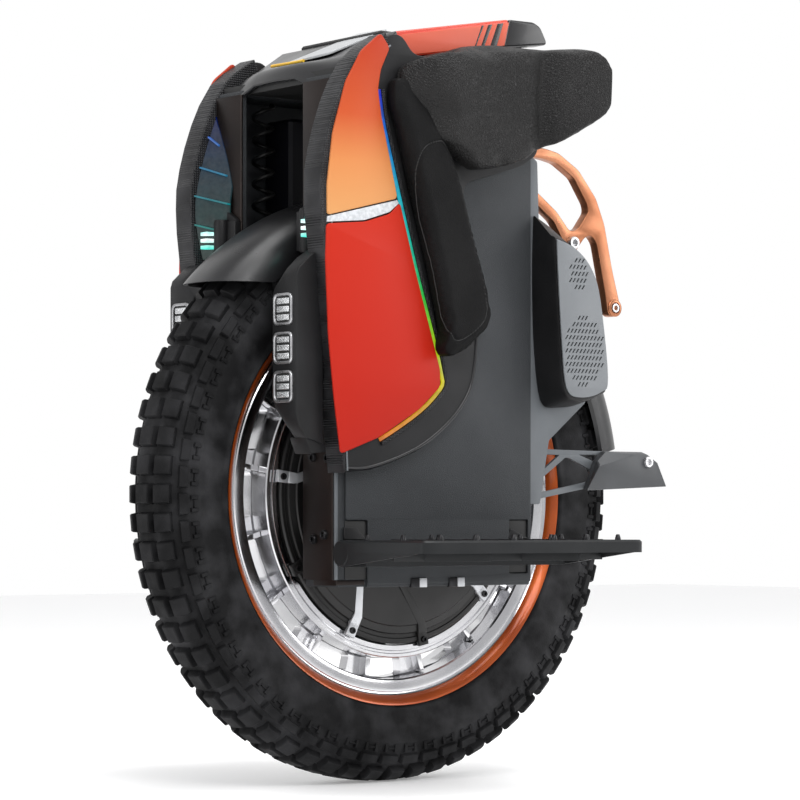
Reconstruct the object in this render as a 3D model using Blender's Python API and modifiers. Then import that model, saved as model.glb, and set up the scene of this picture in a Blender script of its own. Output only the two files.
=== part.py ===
"""Electric unicycle with a sprung body, built as separate pieces.

Metres, +X forward, +Y to the rider's left, +Z up, ground at Z = 0. Outlines are drawn with the axle
at X = 0, and place() shifts every piece by AXLE_X, which centres the whole object over the origin.
"""
import math

import bmesh
import bpy
from mathutils import Matrix, Vector

# Wheel
TYRE_R = 0.258
TYRE_HALF_W = 0.039
RIM_LIP_R = 0.1887
RIM_LIP_Y = 0.0322
BARREL_HALF_W = 0.024
WEB_HALF_W = 0.006
RING_R = 0.146
BARREL_R = 0.165
WINDOW_COUNT = 16
DRUM_R = 0.134
DRUM_HALF_W = 0.028
STATOR_R = 0.118
COVER_R = 0.1335
AXLE_R = 0.011
BEARING_R = 0.024
WHEEL_STEPS = 48

# Suspension
TRAVEL = 0.080
STANCHION_X = 0.078
STANCHION_Y = 0.070
STANCHION_R = 0.012
STANCHION_TOP = 0.460
SPRING_R = 0.0095
SPRING_WIRE_R = 0.0018
SPRING_TURNS = 6
GUARD_R = 0.277
GUARD_HALF_W = 0.0455
GUARD_FRONT_DEG = 40.0
GUARD_REAR_DEG = 170.0

# Side boxes
BOX_REAR_X = -0.100
BOX_FRONT_X = 0.117
BOX_LOW_Z = 0.178
BOX_TOP_Z = 0.620
BOX_INNER_Y = 0.0475
BOX_OUTER_Y = 0.093
BOX_WALL = 0.004
BOX_SKIN = 0.0015
SHELF_LOW_Z = 0.372
SHELF_TOP_Z = 0.392
COVER_PLATE_Y = 0.0955
COVER_FRONT_X = 0.110

# Body panels
SHELL_INNER_Y = 0.0958
SHELL_OUTER_Y = 0.1077
PANEL_OUTER_Y = 0.111
PAD_OUTER_Y = 0.130
CUSHION_OUTER_Y = 0.134
POD_OUTER_Y = 0.1285
DECK_TOP_Z = 0.668
RAIL_INNER_Y = 0.060
RAIL_OUTER_Y = 0.077

# Pedals
PEDAL_PIVOT_Y = 0.105
PEDAL_PIVOT_Z = 0.207
PEDAL_TOP_Z = 0.2185
PEDAL_OUTER_Y = 0.220
PEDAL_FRONT_X = 0.124
PEDAL_REAR_X = -0.126
PEDAL_PIN_R = 0.005
PEDAL_BARREL_R = 0.0085
PEDAL_NOSE_R = 0.0115
EAR_R = 0.009
EAR_SPANS = ((-0.095, -0.082), (0.097, 0.110))

# Power button
BUTTON_X = 0.020
BUTTON_R = 0.008

GAP = 0.0003
AXLE_Z = TYRE_R
AXLE_X = (GUARD_R * math.cos(math.radians(180.0 - GUARD_REAR_DEG)) - TYRE_R) / 2

COLOURS = {
    "tyre_rubber": ((0.020, 0.020, 0.022), 0.75, 0.0),
    "rim_chrome": ((0.80, 0.80, 0.82), 0.15, 1.0),
    "motor_black": ((0.015, 0.015, 0.016), 0.45, 0.2),
    "steel": ((0.55, 0.56, 0.58), 0.30, 1.0),
    "copper_laminate": ((0.60, 0.28, 0.12), 0.45, 0.8),
    "slate_coat": ((0.045, 0.050, 0.055), 0.55, 0.4),
    "grey_plate": ((0.33, 0.36, 0.39), 0.50, 0.3),
    "black_plastic": ((0.012, 0.012, 0.013), 0.50, 0.0),
    "gloss_black": ((0.008, 0.008, 0.009), 0.15, 0.0),
    "red_paint": ((0.68, 0.045, 0.015), 0.35, 0.0),
    "orange_anodised": ((0.75, 0.25, 0.08), 0.35, 0.9),
    "black_leather": ((0.018, 0.016, 0.016), 0.60, 0.0),
    "battery_wrap": ((0.02, 0.08, 0.25), 0.40, 0.0),
    "lamp_body": ((0.020, 0.020, 0.022), 0.40, 0.1),
}


def clear_scene():
    for item in list(bpy.data.objects):
        bpy.data.objects.remove(item)


def make_material(name):
    colour, roughness, metallic = COLOURS[name]
    material = bpy.data.materials.new(name)
    material.use_nodes = True
    shader = material.node_tree.nodes["Principled BSDF"]
    shader.inputs["Base Color"].default_value = (*colour, 1.0)
    shader.inputs["Roughness"].default_value = roughness
    shader.inputs["Metallic"].default_value = metallic
    return material


def collection_named(name):
    collection = bpy.data.collections.get(name)
    if collection is None:
        collection = bpy.data.collections.new(name)
        bpy.context.scene.collection.children.link(collection)
    return collection


def baked_mesh(obj):
    """Give the object's evaluated mesh in world space, welded and facing out, and remove the object."""
    bpy.context.view_layer.update()
    depsgraph = bpy.context.evaluated_depsgraph_get()
    mesh = bpy.data.meshes.new_from_object(obj.evaluated_get(depsgraph))
    mesh.transform(obj.matrix_world)
    bpy.data.objects.remove(obj)
    shape = bmesh.new()
    shape.from_mesh(mesh)
    bmesh.ops.remove_doubles(shape, verts=shape.verts, dist=0.00001)
    bmesh.ops.recalc_face_normals(shape, faces=shape.faces)
    shape.to_mesh(mesh)
    shape.free()
    return mesh


def work_object(data):
    """Put mesh or curve data in the scene as a passing work object."""
    obj = bpy.data.objects.new("work", data)
    bpy.context.scene.collection.objects.link(obj)
    return obj


def box_mesh(low, high, bevel=0.0):
    """Make a box between two corners, with optional rounded edges."""
    shape = bmesh.new()
    size = Vector(high) - Vector(low)
    middle = (Vector(high) + Vector(low)) / 2
    bmesh.ops.create_cube(shape, size=1.0, matrix=Matrix.Translation(middle) @ Matrix.Diagonal((*size, 1.0)))
    mesh = bpy.data.meshes.new("box")
    shape.to_mesh(mesh)
    shape.free()
    return beveled(mesh, bevel) if bevel else mesh


def beveled(mesh, width, segments=1):
    obj = work_object(mesh)
    bevel = obj.modifiers.new("edges", "BEVEL")
    bevel.width = width
    bevel.segments = segments
    bevel.limit_method = "ANGLE"
    bevel.angle_limit = math.radians(50)
    return baked_mesh(obj)


def rod_mesh(start, end, radius, sides=24):
    """Make a closed cylinder between two points."""
    start, end = Vector(start), Vector(end)
    along = end - start
    turn = along.to_track_quat("Z", "Y").to_matrix().to_4x4()
    shape = bmesh.new()
    bmesh.ops.create_cone(
        shape, cap_ends=True, segments=sides, radius1=radius, radius2=radius, depth=along.length,
        matrix=Matrix.Translation((start + end) / 2) @ turn)
    mesh = bpy.data.meshes.new("rod")
    shape.to_mesh(mesh)
    shape.free()
    return mesh


def rounded(points, radius, steps=2):
    """Replace each corner of an outline with a short curve that starts at most radius away from it."""
    outline = []
    for index, corner in enumerate(points):
        corner = Vector(corner)
        before = Vector(points[index - 1]) - corner
        after = Vector(points[(index + 1) % len(points)]) - corner
        start = corner + before.normalized() * min(radius, before.length * 0.45)
        end = corner + after.normalized() * min(radius, after.length * 0.45)
        for step in range(steps + 1):
            t = step / steps
            outline.append(start * (1 - t) ** 2 + corner * 2 * t * (1 - t) + end * t ** 2)
    return outline


def plate_mesh(outlines, low_y, high_y, bevel=0.0):
    """Extrude XZ outlines between two Y planes; outlines inside the first are holes."""
    curve = bpy.data.curves.new("outline", "CURVE")
    curve.dimensions = "2D"
    curve.fill_mode = "BOTH"
    curve.extrude = (high_y - low_y) / 2
    for outline in outlines:
        spline = curve.splines.new("POLY")
        spline.points.add(len(outline) - 1)
        for point, place_2d in zip(spline.points, outline):
            point.co = (place_2d[0], place_2d[1], 0.0, 1.0)
        spline.use_cyclic_u = True
    obj = work_object(curve)
    obj.rotation_euler = (math.radians(90), 0.0, 0.0)
    obj.location = (0.0, (low_y + high_y) / 2, 0.0)
    mesh = baked_mesh(obj)
    return beveled(mesh, bevel) if bevel else mesh


def turned_mesh(profile, steps=WHEEL_STEPS):
    """Turn a closed (radius, y) profile about the wheel's axis."""
    mesh = bpy.data.meshes.new("profile")
    edges = [(i, (i + 1) % len(profile)) for i in range(len(profile))]
    mesh.from_pydata([(radius, y, 0.0) for radius, y in profile], edges, [])
    obj = work_object(mesh)
    screw = obj.modifiers.new("turn", "SCREW")
    screw.axis = "Y"
    screw.steps = steps
    screw.render_steps = steps
    screw.use_merge_vertices = True
    screw.merge_threshold = 0.00005
    obj.location = (0.0, 0.0, AXLE_Z)
    return baked_mesh(obj)


def combined(mesh, others, operation):
    """Join or cut a mesh with each of the others in turn."""
    obj = work_object(mesh)
    tools = []
    for other in others:
        tool = bpy.data.objects.new("cutter", other)
        tool.hide_render = True
        tool.display_type = "WIRE"
        collection_named("cutters").objects.link(tool)
        step = obj.modifiers.new("combine", "BOOLEAN")
        step.operation = operation
        step.object = tool
        tools.append(tool)
    result = baked_mesh(obj)
    for tool in tools:
        bpy.data.objects.remove(tool)
    return result


def cut(mesh, *cutters):
    return combined(mesh, cutters, "DIFFERENCE")


def joined(mesh, *pieces):
    return combined(mesh, pieces, "UNION")


def mirrored(mesh):
    """Copy a left-hand mesh to the right side."""
    copy = mesh.copy()
    copy.transform(Matrix.Diagonal((1.0, -1.0, 1.0, 1.0)))
    copy.flip_normals()
    return copy


def place(name, mesh, material, origin=(0.0, 0.0, 0.0)):
    """Name a finished mesh, shift it over the object's origin and set its own origin."""
    pivot = Vector(origin)
    mesh.transform(Matrix.Translation(-pivot))
    mesh.name = name
    mesh.shade_smooth()
    mesh.set_sharp_from_angle(angle=math.radians(35))
    mesh.materials.clear()
    mesh.materials.append(bpy.data.materials.get(material) or make_material(material))
    obj = bpy.data.objects.new(name, mesh)
    obj.location = pivot + Vector((AXLE_X, 0.0, 0.0))
    collection_named("electric_unicycle").objects.link(obj)


def place_pair(name, mesh, material, origin=(0.0, 0.0, 0.0)):
    """Place a left-hand piece and its right-hand twin."""
    right = mirrored(mesh)
    place(name + "_left", mesh, material, origin)
    place(name + "_right", right, material, (origin[0], -origin[1], origin[2]))


def symmetric_profile(half):
    """Close a (radius, y) half profile, given from the middle plane outwards, with its reflection."""
    other = [(radius, -y) for radius, y in reversed(half) if y > 0]
    return half + other


def at_angle(radius, degrees):
    """A point on a circle round the axle, as (x, z), with 0 degrees at the front."""
    angle = math.radians(degrees)
    return (radius * math.cos(angle), AXLE_Z + radius * math.sin(angle))


def build_tyre():
    """A hollow tyre section, open to the rim, with its crown at the outer radius of the tread."""
    outside = [(TYRE_R, 0.0), (0.256, 0.014), (0.247, 0.029), (0.231, TYRE_HALF_W), (0.211, TYRE_HALF_W),
               (0.1895, 0.0328), (0.1891, 0.0296)]
    inside = [(0.1812, 0.0214), (0.1804, 0.012), (0.200, 0.028), (0.226, 0.030), (0.247, 0.010)]
    ring = outside + inside
    reflected = [(radius, -y) for radius, y in reversed(ring) if y > 0]
    mesh = turned_mesh(ring + reflected)
    place("tyre", mesh, "tyre_rubber", (0.0, 0.0, AXLE_Z))


def window_cutters():
    """Through windows in the web between the rim barrel and the motor ring."""
    meshes = []
    pitch = 360.0 / WINDOW_COUNT
    for index in range(WINDOW_COUNT):
        middle = pitch * index
        low_r = RING_R + 0.001
        high_r = BARREL_R - 0.001
        corners = [at_angle(low_r, middle - 0.33 * pitch), at_angle(high_r, middle - 0.33 * pitch),
                   at_angle(high_r, middle + 0.33 * pitch), at_angle(low_r, middle + 0.33 * pitch)]
        meshes.append(plate_mesh([corners], -0.010, 0.010))
    return meshes


def build_rim():
    """Barrel with lips, a web with windows, and the ring that holds the motor drum."""
    half = [(0.174, 0.0), (0.174, 0.008), (0.180, 0.012), (0.1806, 0.0222), (RIM_LIP_R, 0.0303),
            (RIM_LIP_R, RIM_LIP_Y), (0.180, BARREL_HALF_W), (0.168, BARREL_HALF_W), (BARREL_R, WEB_HALF_W),
            (RING_R, WEB_HALF_W), (RING_R, DRUM_HALF_W), (DRUM_R + GAP, DRUM_HALF_W)]
    ring = half + [(radius, -y) for radius, y in reversed(half) if y > 0]
    mesh = cut(turned_mesh(ring), *window_cutters())
    place("rim", mesh, "rim_chrome", (0.0, 0.0, AXLE_Z))


def ring_mesh(inner_r, outer_r, low_y, high_y, steps=WHEEL_STEPS):
    return turned_mesh([(outer_r, low_y), (outer_r, high_y), (inner_r, high_y), (inner_r, low_y)], steps)


def build_motor():
    """Hub motor: drum, magnet ring, two covers on bearings, and the stator on the fixed axle."""
    hub = (0.0, 0.0, AXLE_Z)
    place("motor_drum", ring_mesh(0.1245, DRUM_R - GAP, -DRUM_HALF_W, DRUM_HALF_W), "motor_black", hub)
    place("magnet_ring", ring_mesh(0.1195, 0.1240, -0.022, 0.022), "steel", hub)
    base_y = DRUM_HALF_W + GAP
    cover = turned_mesh([(COVER_R, base_y), (COVER_R, 0.031), (0.120, 0.035), (0.080, 0.039),
                         (0.040, 0.041), (BEARING_R + GAP, 0.041), (BEARING_R + GAP, base_y)])
    place_pair("motor_cover", cover, "motor_black", hub)
    bearing = ring_mesh(AXLE_R + GAP, BEARING_R, 0.029, 0.040, 24)
    place_pair("wheel_bearing", bearing, "steel", hub)
    rim_outline = [at_angle(STATOR_R, 7.5 * step) for step in range(48)]
    bore = [at_angle(AXLE_R + GAP, 15.0 * step) for step in range(24)]
    windows = []
    for index in range(6):
        middle = 60.0 * index
        windows.append([at_angle(0.030, middle - 14), at_angle(0.090, middle - 22),
                        at_angle(0.090, middle), at_angle(0.090, middle + 22), at_angle(0.030, middle + 14)])
    place("motor_stator", plate_mesh([rim_outline, bore] + windows, -0.024, 0.024), "copper_laminate", hub)


def build_axle_and_blocks():
    hub = (0.0, 0.0, AXLE_Z)
    half = 0.088
    axle = rod_mesh((0.0, -half, AXLE_Z), (0.0, half, AXLE_Z), AXLE_R - GAP)
    place("axle", axle, "steel", hub)
    block = box_mesh((-0.092, 0.050, 0.232), (0.092, 0.086, 0.284), 0.002)
    bore = rod_mesh((0.0, 0.04, AXLE_Z), (0.0, 0.10, AXLE_Z), AXLE_R + GAP)
    place_pair("axle_block", cut(block, bore), "slate_coat", hub)


def build_stanchions_and_springs():
    foot = 0.284 + GAP
    for end, x in (("front", STANCHION_X), ("rear", -STANCHION_X)):
        tube = rod_mesh((x, STANCHION_Y, foot), (x, STANCHION_Y, STANCHION_TOP), STANCHION_R)
        place_pair("stanchion_" + end, tube, "steel", (x, STANCHION_Y, foot))
        place_pair("spring_" + end, spring_mesh(x), "steel", (x, STANCHION_Y, STANCHION_TOP))


def spring_mesh(x):
    """A coil that fills the space between a stanchion's top and the top of its box."""
    low = STANCHION_TOP + GAP + SPRING_WIRE_R * 1.2
    high = BOX_TOP_Z - BOX_WALL - GAP - SPRING_WIRE_R * 1.2
    points_per_turn = 8
    count = SPRING_TURNS * points_per_turn
    curve = bpy.data.curves.new("coil", "CURVE")
    curve.dimensions = "3D"
    curve.bevel_depth = SPRING_WIRE_R
    curve.bevel_resolution = 1
    curve.use_fill_caps = True
    spline = curve.splines.new("POLY")
    spline.points.add(count)
    for index, point in enumerate(spline.points):
        angle = 2 * math.pi * index / points_per_turn
        z = low + (high - low) * index / count
        point.co = (x + SPRING_R * math.cos(angle), STANCHION_Y + SPRING_R * math.sin(angle), z, 1.0)
    return baked_mesh(work_object(curve))


def build_mudguard():
    """A curved guard over the tyre: an arched section swept round the axle from front to rear."""
    section = [(GUARD_R, 0.0), (GUARD_R - 0.002, 0.020), (GUARD_R - 0.009, 0.034), (GUARD_R - 0.020, 0.043),
               (0.238, GUARD_HALF_W)]
    inner = [(radius - 0.0035, y * 0.94) for radius, y in section]
    inner[-1] = (0.238, GUARD_HALF_W - 0.003)
    ring = section + [point for point in reversed(inner)]
    ring = ring + [(radius, -y) for radius, y in reversed(ring) if y > 0]
    steps = 18
    shape = bmesh.new()
    loops = []
    for step in range(steps + 1):
        angle = GUARD_FRONT_DEG + (GUARD_REAR_DEG - GUARD_FRONT_DEG) * step / steps
        loop = []
        for radius, y in ring:
            x, z = at_angle(radius, angle)
            loop.append(shape.verts.new((x, y, z)))
        loops.append(loop)
    for near, far in zip(loops, loops[1:]):
        for index in range(len(ring)):
            after = (index + 1) % len(ring)
            shape.faces.new((near[index], near[after], far[after], far[index]))
    shape.faces.new(loops[0])
    shape.faces.new(list(reversed(loops[-1])))
    bmesh.ops.recalc_face_normals(shape, faces=shape.faces)
    bmesh.ops.triangulate(shape, faces=[face for face in shape.faces if len(face.verts) > 4])
    mesh = bpy.data.meshes.new("guard")
    shape.to_mesh(mesh)
    shape.free()
    place("mudguard", mesh, "black_plastic", (0.0, 0.0, AXLE_Z))


def ear_mesh(span):
    """A hinge ear for the pedal pin: a lug with a round end, bored for the pin."""
    root_y = BOX_OUTER_Y - 0.001
    low_z = PEDAL_PIVOT_Z - EAR_R
    high_z = PEDAL_PIVOT_Z + EAR_R
    lug = box_mesh((span[0], root_y, low_z), (span[1], PEDAL_PIVOT_Y, high_z))
    end = rod_mesh((span[0], PEDAL_PIVOT_Y, PEDAL_PIVOT_Z), (span[1], PEDAL_PIVOT_Y, PEDAL_PIVOT_Z), EAR_R, 20)
    bore = rod_mesh((span[0] - 0.01, PEDAL_PIVOT_Y, PEDAL_PIVOT_Z),
                    (span[1] + 0.01, PEDAL_PIVOT_Y, PEDAL_PIVOT_Z), PEDAL_PIN_R + 2 * GAP, 20)
    return cut(joined(lug, end), bore)


def build_side_boxes():
    """Open-sided battery boxes with a guide shelf for the stanchions and ears for the pedals."""
    shell = box_mesh((BOX_REAR_X, BOX_INNER_Y, BOX_LOW_Z), (BOX_FRONT_X, BOX_OUTER_Y, BOX_TOP_Z))
    inner_x = (BOX_REAR_X + BOX_WALL, BOX_FRONT_X - BOX_WALL)
    skin_y = BOX_OUTER_Y - BOX_SKIN
    lower = box_mesh((inner_x[0], 0.040, BOX_LOW_Z + BOX_WALL), (inner_x[1], skin_y, SHELF_LOW_Z))
    upper = box_mesh((inner_x[0], 0.040, SHELF_TOP_Z), (inner_x[1], skin_y, BOX_TOP_Z - BOX_WALL))
    guides = []
    for x in (STANCHION_X, -STANCHION_X):
        guides.append(rod_mesh((x, STANCHION_Y, SHELF_LOW_Z - 0.01), (x, STANCHION_Y, SHELF_TOP_Z + 0.01),
                               STANCHION_R + 2 * GAP))
    housing = cut(shell, lower, upper, *guides)
    housing = joined(housing, *[ear_mesh(span) for span in EAR_SPANS])
    place_pair("side_box", housing, "slate_coat")
    cover = box_mesh((BOX_REAR_X, BOX_OUTER_Y + GAP, BOX_LOW_Z), (COVER_FRONT_X, COVER_PLATE_Y, BOX_TOP_Z))
    notches = [box_mesh((-0.098, 0.090, 0.190), (-0.079, 0.100, 0.226)),
               box_mesh((0.0865, 0.090, 0.170), (0.113, 0.100, 0.236))]
    place_pair("box_cover", cut(cover, *notches), "slate_coat")
    pack = box_mesh((-0.062, 0.0505, 0.395), (0.062, 0.0912, 0.600), 0.003)
    place_pair("battery_pack", pack, "battery_wrap")


def build_spine_and_deck():
    place("frame_spine", box_mesh((-0.100, -0.092, BOX_TOP_Z + GAP), (0.046, 0.092, 0.632)), "slate_coat")
    place("controller_box", box_mesh((-0.098, -0.058, 0.6325), (0.044, 0.058, 0.655), 0.003), "grey_plate")
    deck = box_mesh((-0.130, -0.0595, 0.655 + GAP), (0.044, 0.0595, DECK_TOP_Z), 0.002)
    bore = rod_mesh((BUTTON_X, 0.0, 0.650), (BUTTON_X, 0.0, 0.680), BUTTON_R + 2 * GAP)
    place("top_deck", cut(deck, bore), "black_plastic")
    button = rod_mesh((BUTTON_X, 0.0, 0.6585), (BUTTON_X, 0.0, DECK_TOP_Z + 0.0025), BUTTON_R)
    place("power_button", button, "steel", (BUTTON_X, 0.0, DECK_TOP_Z))
    rail = [(0.044, 0.643), (0.048, 0.657), (0.043, 0.667), (-0.078, 0.689), (-0.118, 0.693),
            (-0.135, 0.691), (-0.131, 0.669), (-0.118, 0.668), (-0.060, 0.659)]
    place_pair("top_rail", plate_mesh([rounded(rail, 0.004)], RAIL_INNER_Y, RAIL_OUTER_Y), "red_paint")


def build_front_arch():
    outline = [(0.0485, 0.665), (0.062, 0.659), (0.100, 0.645), (0.141, 0.630), (0.146, 0.622),
               (0.140, 0.613), (0.119, 0.613), (0.1175, 0.623), (0.0485, 0.634)]
    place("front_arch", plate_mesh([rounded(outline, 0.004)], -0.0835, 0.0835), "gloss_black")


def build_shells():
    """Side shells that carry the coloured panels and the pads, with a lip round the box's front."""
    face = [(0.077, 0.656), (0.110, 0.632), (0.131, 0.594), (0.144, 0.553), (0.148, 0.516), (0.144, 0.470),
            (0.134, 0.370), (0.122, 0.276), (0.091, 0.279), (0.042, 0.295), (0.006, 0.319), (-0.018, 0.345),
            (-0.024, 0.372), (-0.028, 0.410), (-0.012, 0.470), (-0.012, 0.532), (-0.078, 0.552),
            (-0.098, 0.564), (-0.098, 0.640), (0.045, 0.640), (0.060, 0.656)]
    lip = [(0.1195, 0.616), (0.131, 0.594), (0.144, 0.553), (0.148, 0.516), (0.144, 0.470), (0.134, 0.370),
           (0.122, 0.276), (0.1175, 0.276), (0.1175, 0.616)]
    face_mesh = plate_mesh([rounded(face, 0.010)], SHELL_INNER_Y, SHELL_OUTER_Y)
    lip_mesh = plate_mesh([lip], 0.084, SHELL_INNER_Y + 0.004)
    place_pair("side_shell", joined(face_mesh, lip_mesh), "black_plastic")
    panel = [(0.084, 0.655), (0.105, 0.638), (0.122, 0.610), (0.136, 0.565), (0.142, 0.520), (0.143, 0.456),
             (0.134, 0.340), (0.127, 0.292), (0.085, 0.307), (0.041, 0.332), (0.018, 0.352), (0.018, 0.367),
             (0.046, 0.453), (0.076, 0.555), (0.087, 0.606), (0.084, 0.623), (0.074, 0.643)]
    place_pair("side_panel", plate_mesh([rounded(panel, 0.006)], SHELL_OUTER_Y + GAP, PANEL_OUTER_Y), "red_paint")


def build_pads():
    """Plain solids for the thigh cushion and the knee pad on each side."""
    side = [(0.066, 0.630), (-0.042, 0.653), (-0.145, 0.660), (-0.163, 0.648), (-0.162, 0.605), (-0.099, 0.563),
            (-0.060, 0.548), (-0.008, 0.535), (0.010, 0.570), (0.050, 0.572)]
    roll = [(0.028, 0.645), (-0.040, 0.656), (-0.145, 0.660), (-0.150, 0.6405), (0.028, 0.6405)]
    outer = plate_mesh([rounded(side, 0.014)], SHELL_OUTER_Y + GAP, CUSHION_OUTER_Y)
    over = plate_mesh([roll], RAIL_OUTER_Y + GAP, SHELL_OUTER_Y + 0.004)
    place_pair("thigh_cushion", joined(outer, over), "black_leather")
    knee = [(0.056, 0.566), (0.018, 0.566), (-0.008, 0.480), (-0.027, 0.415), (-0.018, 0.398), (0.023, 0.372),
            (0.033, 0.380), (0.056, 0.470)]
    knee_mesh = plate_mesh([rounded(knee, 0.010)], SHELL_OUTER_Y + GAP, PAD_OUTER_Y)
    place_pair("knee_pad", cut(knee_mesh, panel_clearance()), "black_leather")


def panel_clearance():
    """The room that the coloured panel needs beside the knee pad."""
    rear_edge = [(0.160, 0.340), (0.010, 0.345), (0.014, 0.368), (0.042, 0.454), (0.072, 0.556), (0.083, 0.606),
                 (0.160, 0.606)]
    return plate_mesh([rear_edge], 0.100, PANEL_OUTER_Y + GAP)


def build_headlights():
    """Lamp bodies with sloping ends, each with a deeper inner half on a stub that meets the box's front wall."""
    outline = [(0.1460, 0.454), (0.148, 0.455), (0.160, 0.428), (0.163, 0.420), (0.163, 0.337), (0.158, 0.322),
               (0.1460, 0.303)]
    body = plate_mesh([outline], 0.060, 0.0954)
    core = box_mesh((0.1345, 0.060, 0.312), (0.150, 0.0835, 0.440))
    stub = box_mesh((BOX_FRONT_X + GAP, 0.0612, 0.350), (0.138, 0.0823, 0.410))
    place_pair("headlight", joined(body, core, stub), "lamp_body")


def build_speakers():
    outline = [(-0.103, 0.500), (-0.127, 0.484), (-0.147, 0.464), (-0.157, 0.435), (-0.167, 0.363),
               (-0.158, 0.348), (-0.133, 0.343), (-0.115, 0.350), (-0.106, 0.397)]
    tray_y = POD_OUTER_Y - 0.004
    tray = plate_mesh([rounded(outline, 0.008)], BOX_OUTER_Y + GAP, tray_y)
    middle = Vector((-0.133, 0.418))
    hollow = [middle + (Vector(point) - middle) * 0.86 for point in rounded(outline, 0.008)]
    cavity = plate_mesh([hollow], BOX_OUTER_Y + 0.004, POD_OUTER_Y)
    place_pair("speaker_pod", cut(tray, cavity), "black_plastic")
    face = [middle + (Vector(point) - middle) * 0.97 for point in outline]
    face_mesh = plate_mesh([rounded(face, 0.008)], tray_y + GAP, POD_OUTER_Y)
    place_pair("speaker_grille", face_mesh, "grey_plate")


def build_rear_frame():
    """Rear side plates, heel brackets with their pads, and the machined bumper arms."""
    plate = [(BOX_REAR_X - GAP, 0.566), (-0.110, 0.560), (-0.113, 0.470), (-0.113, 0.365), (-0.170, 0.350),
             (-0.168, 0.343), (-0.124, 0.308), (-0.113, 0.250), (BOX_REAR_X - GAP, 0.250)]
    place_pair("rear_plate", plate_mesh([plate], 0.0895, BOX_OUTER_Y), "grey_plate")
    bracket = [(BOX_REAR_X - GAP, 0.301), (-0.262, 0.300), (-0.262, 0.289), (-0.200, 0.273), (-0.165, 0.270),
               (BOX_REAR_X - GAP, 0.253)]
    holes = [[(-0.106, 0.296), (-0.106, 0.262), (-0.128, 0.296)],
             [(-0.136, 0.296), (-0.113, 0.262), (-0.155, 0.273), (-0.155, 0.296)]]
    place_pair("heel_bracket", plate_mesh([bracket] + holes, 0.0855, 0.0892), "black_plastic")
    pad = [(-0.166, 0.300), (-0.258, 0.300), (-0.262, 0.288), (-0.262, 0.270), (-0.200, 0.266), (-0.172, 0.266)]
    place_pair("heel_pad", plate_mesh([pad], 0.0895, 0.104, 0.001), "black_plastic")
    arm = [(BOX_REAR_X - GAP, 0.580), (-0.150, 0.578), (-0.166, 0.575), (-0.191, 0.561), (-0.213, 0.536),
           (-0.223, 0.513), (-0.233, 0.471), (-0.243, 0.439), (-0.240, 0.428), (-0.228, 0.428),
           (-0.223, 0.447), (-0.213, 0.492), (-0.200, 0.500), (-0.180, 0.500), (-0.160, 0.520),
           (BOX_REAR_X - GAP, 0.535)]
    window = [(-0.125, 0.568), (-0.160, 0.564), (-0.186, 0.549), (-0.205, 0.520), (-0.198, 0.512),
              (-0.184, 0.512), (-0.165, 0.530), (-0.125, 0.541)]
    arm_mesh = plate_mesh([rounded(arm, 0.005, 1), rounded(window, 0.004, 1)], 0.0487, 0.0590)
    place_pair("bumper_arm", arm_mesh, "orange_anodised")


def build_pedals():
    """Folding pedals: a tapered plate with pockets below, on a barrel between the ears."""
    slab_y = PEDAL_PIVOT_Y + 0.016
    shape = bmesh.new()
    bmesh.ops.create_cube(shape, size=1.0)
    for vert in shape.verts:
        outer = vert.co.y > 0
        vert.co.x = PEDAL_FRONT_X if vert.co.x > 0 else PEDAL_REAR_X
        vert.co.y = PEDAL_OUTER_Y if outer else slab_y
        low_z = 0.209 if outer else 0.195
        vert.co.z = PEDAL_TOP_Z if vert.co.z > 0 else low_z
    slab = bpy.data.meshes.new("slab")
    shape.to_mesh(slab)
    shape.free()
    pockets = []
    for column in range(5):
        x = PEDAL_REAR_X + 0.012 + column * 0.046
        for y in (slab_y + 0.008, slab_y + 0.050):
            pockets.append(box_mesh((x, y, 0.180), (x + 0.040, y + 0.036, PEDAL_TOP_Z - 0.006)))
    slab = cut(slab, *pockets)
    spans = ((PEDAL_REAR_X, EAR_SPANS[0][0] - 2 * GAP), (EAR_SPANS[0][1] + 2 * GAP, EAR_SPANS[1][0] - 2 * GAP),
             (EAR_SPANS[1][1] + 2 * GAP, PEDAL_FRONT_X))
    knuckles = []
    for index, (low_x, high_x) in enumerate(spans):
        nose = index == len(spans) - 1
        arm = box_mesh((low_x, PEDAL_PIVOT_Y, PEDAL_PIVOT_Z - 0.007), (high_x, slab_y + 0.004, PEDAL_PIVOT_Z + 0.007))
        barrel = rod_mesh((low_x, PEDAL_PIVOT_Y, PEDAL_PIVOT_Z), (high_x, PEDAL_PIVOT_Y, PEDAL_PIVOT_Z),
                          PEDAL_NOSE_R if nose else PEDAL_BARREL_R, 20)
        knuckles.extend((arm, barrel))
    bore = rod_mesh((-0.098, PEDAL_PIVOT_Y, PEDAL_PIVOT_Z), (0.130, PEDAL_PIVOT_Y, PEDAL_PIVOT_Z),
                    PEDAL_PIN_R + 2 * GAP, 20)
    pivot = (0.0, PEDAL_PIVOT_Y, PEDAL_PIVOT_Z)
    place_pair("pedal", cut(joined(slab, *knuckles), bore), "black_plastic", pivot)
    pin = rod_mesh((-0.0975, PEDAL_PIVOT_Y, PEDAL_PIVOT_Z), (0.122, PEDAL_PIVOT_Y, PEDAL_PIVOT_Z), PEDAL_PIN_R, 20)
    place_pair("pedal_pin", pin, "steel", pivot)


def build():
    clear_scene()
    build_tyre()
    build_rim()
    build_motor()
    build_axle_and_blocks()
    build_stanchions_and_springs()
    build_mudguard()
    build_side_boxes()
    build_spine_and_deck()
    build_front_arch()
    build_shells()
    build_pads()
    build_headlights()
    build_speakers()
    build_rear_frame()
    build_pedals()


build()
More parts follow.
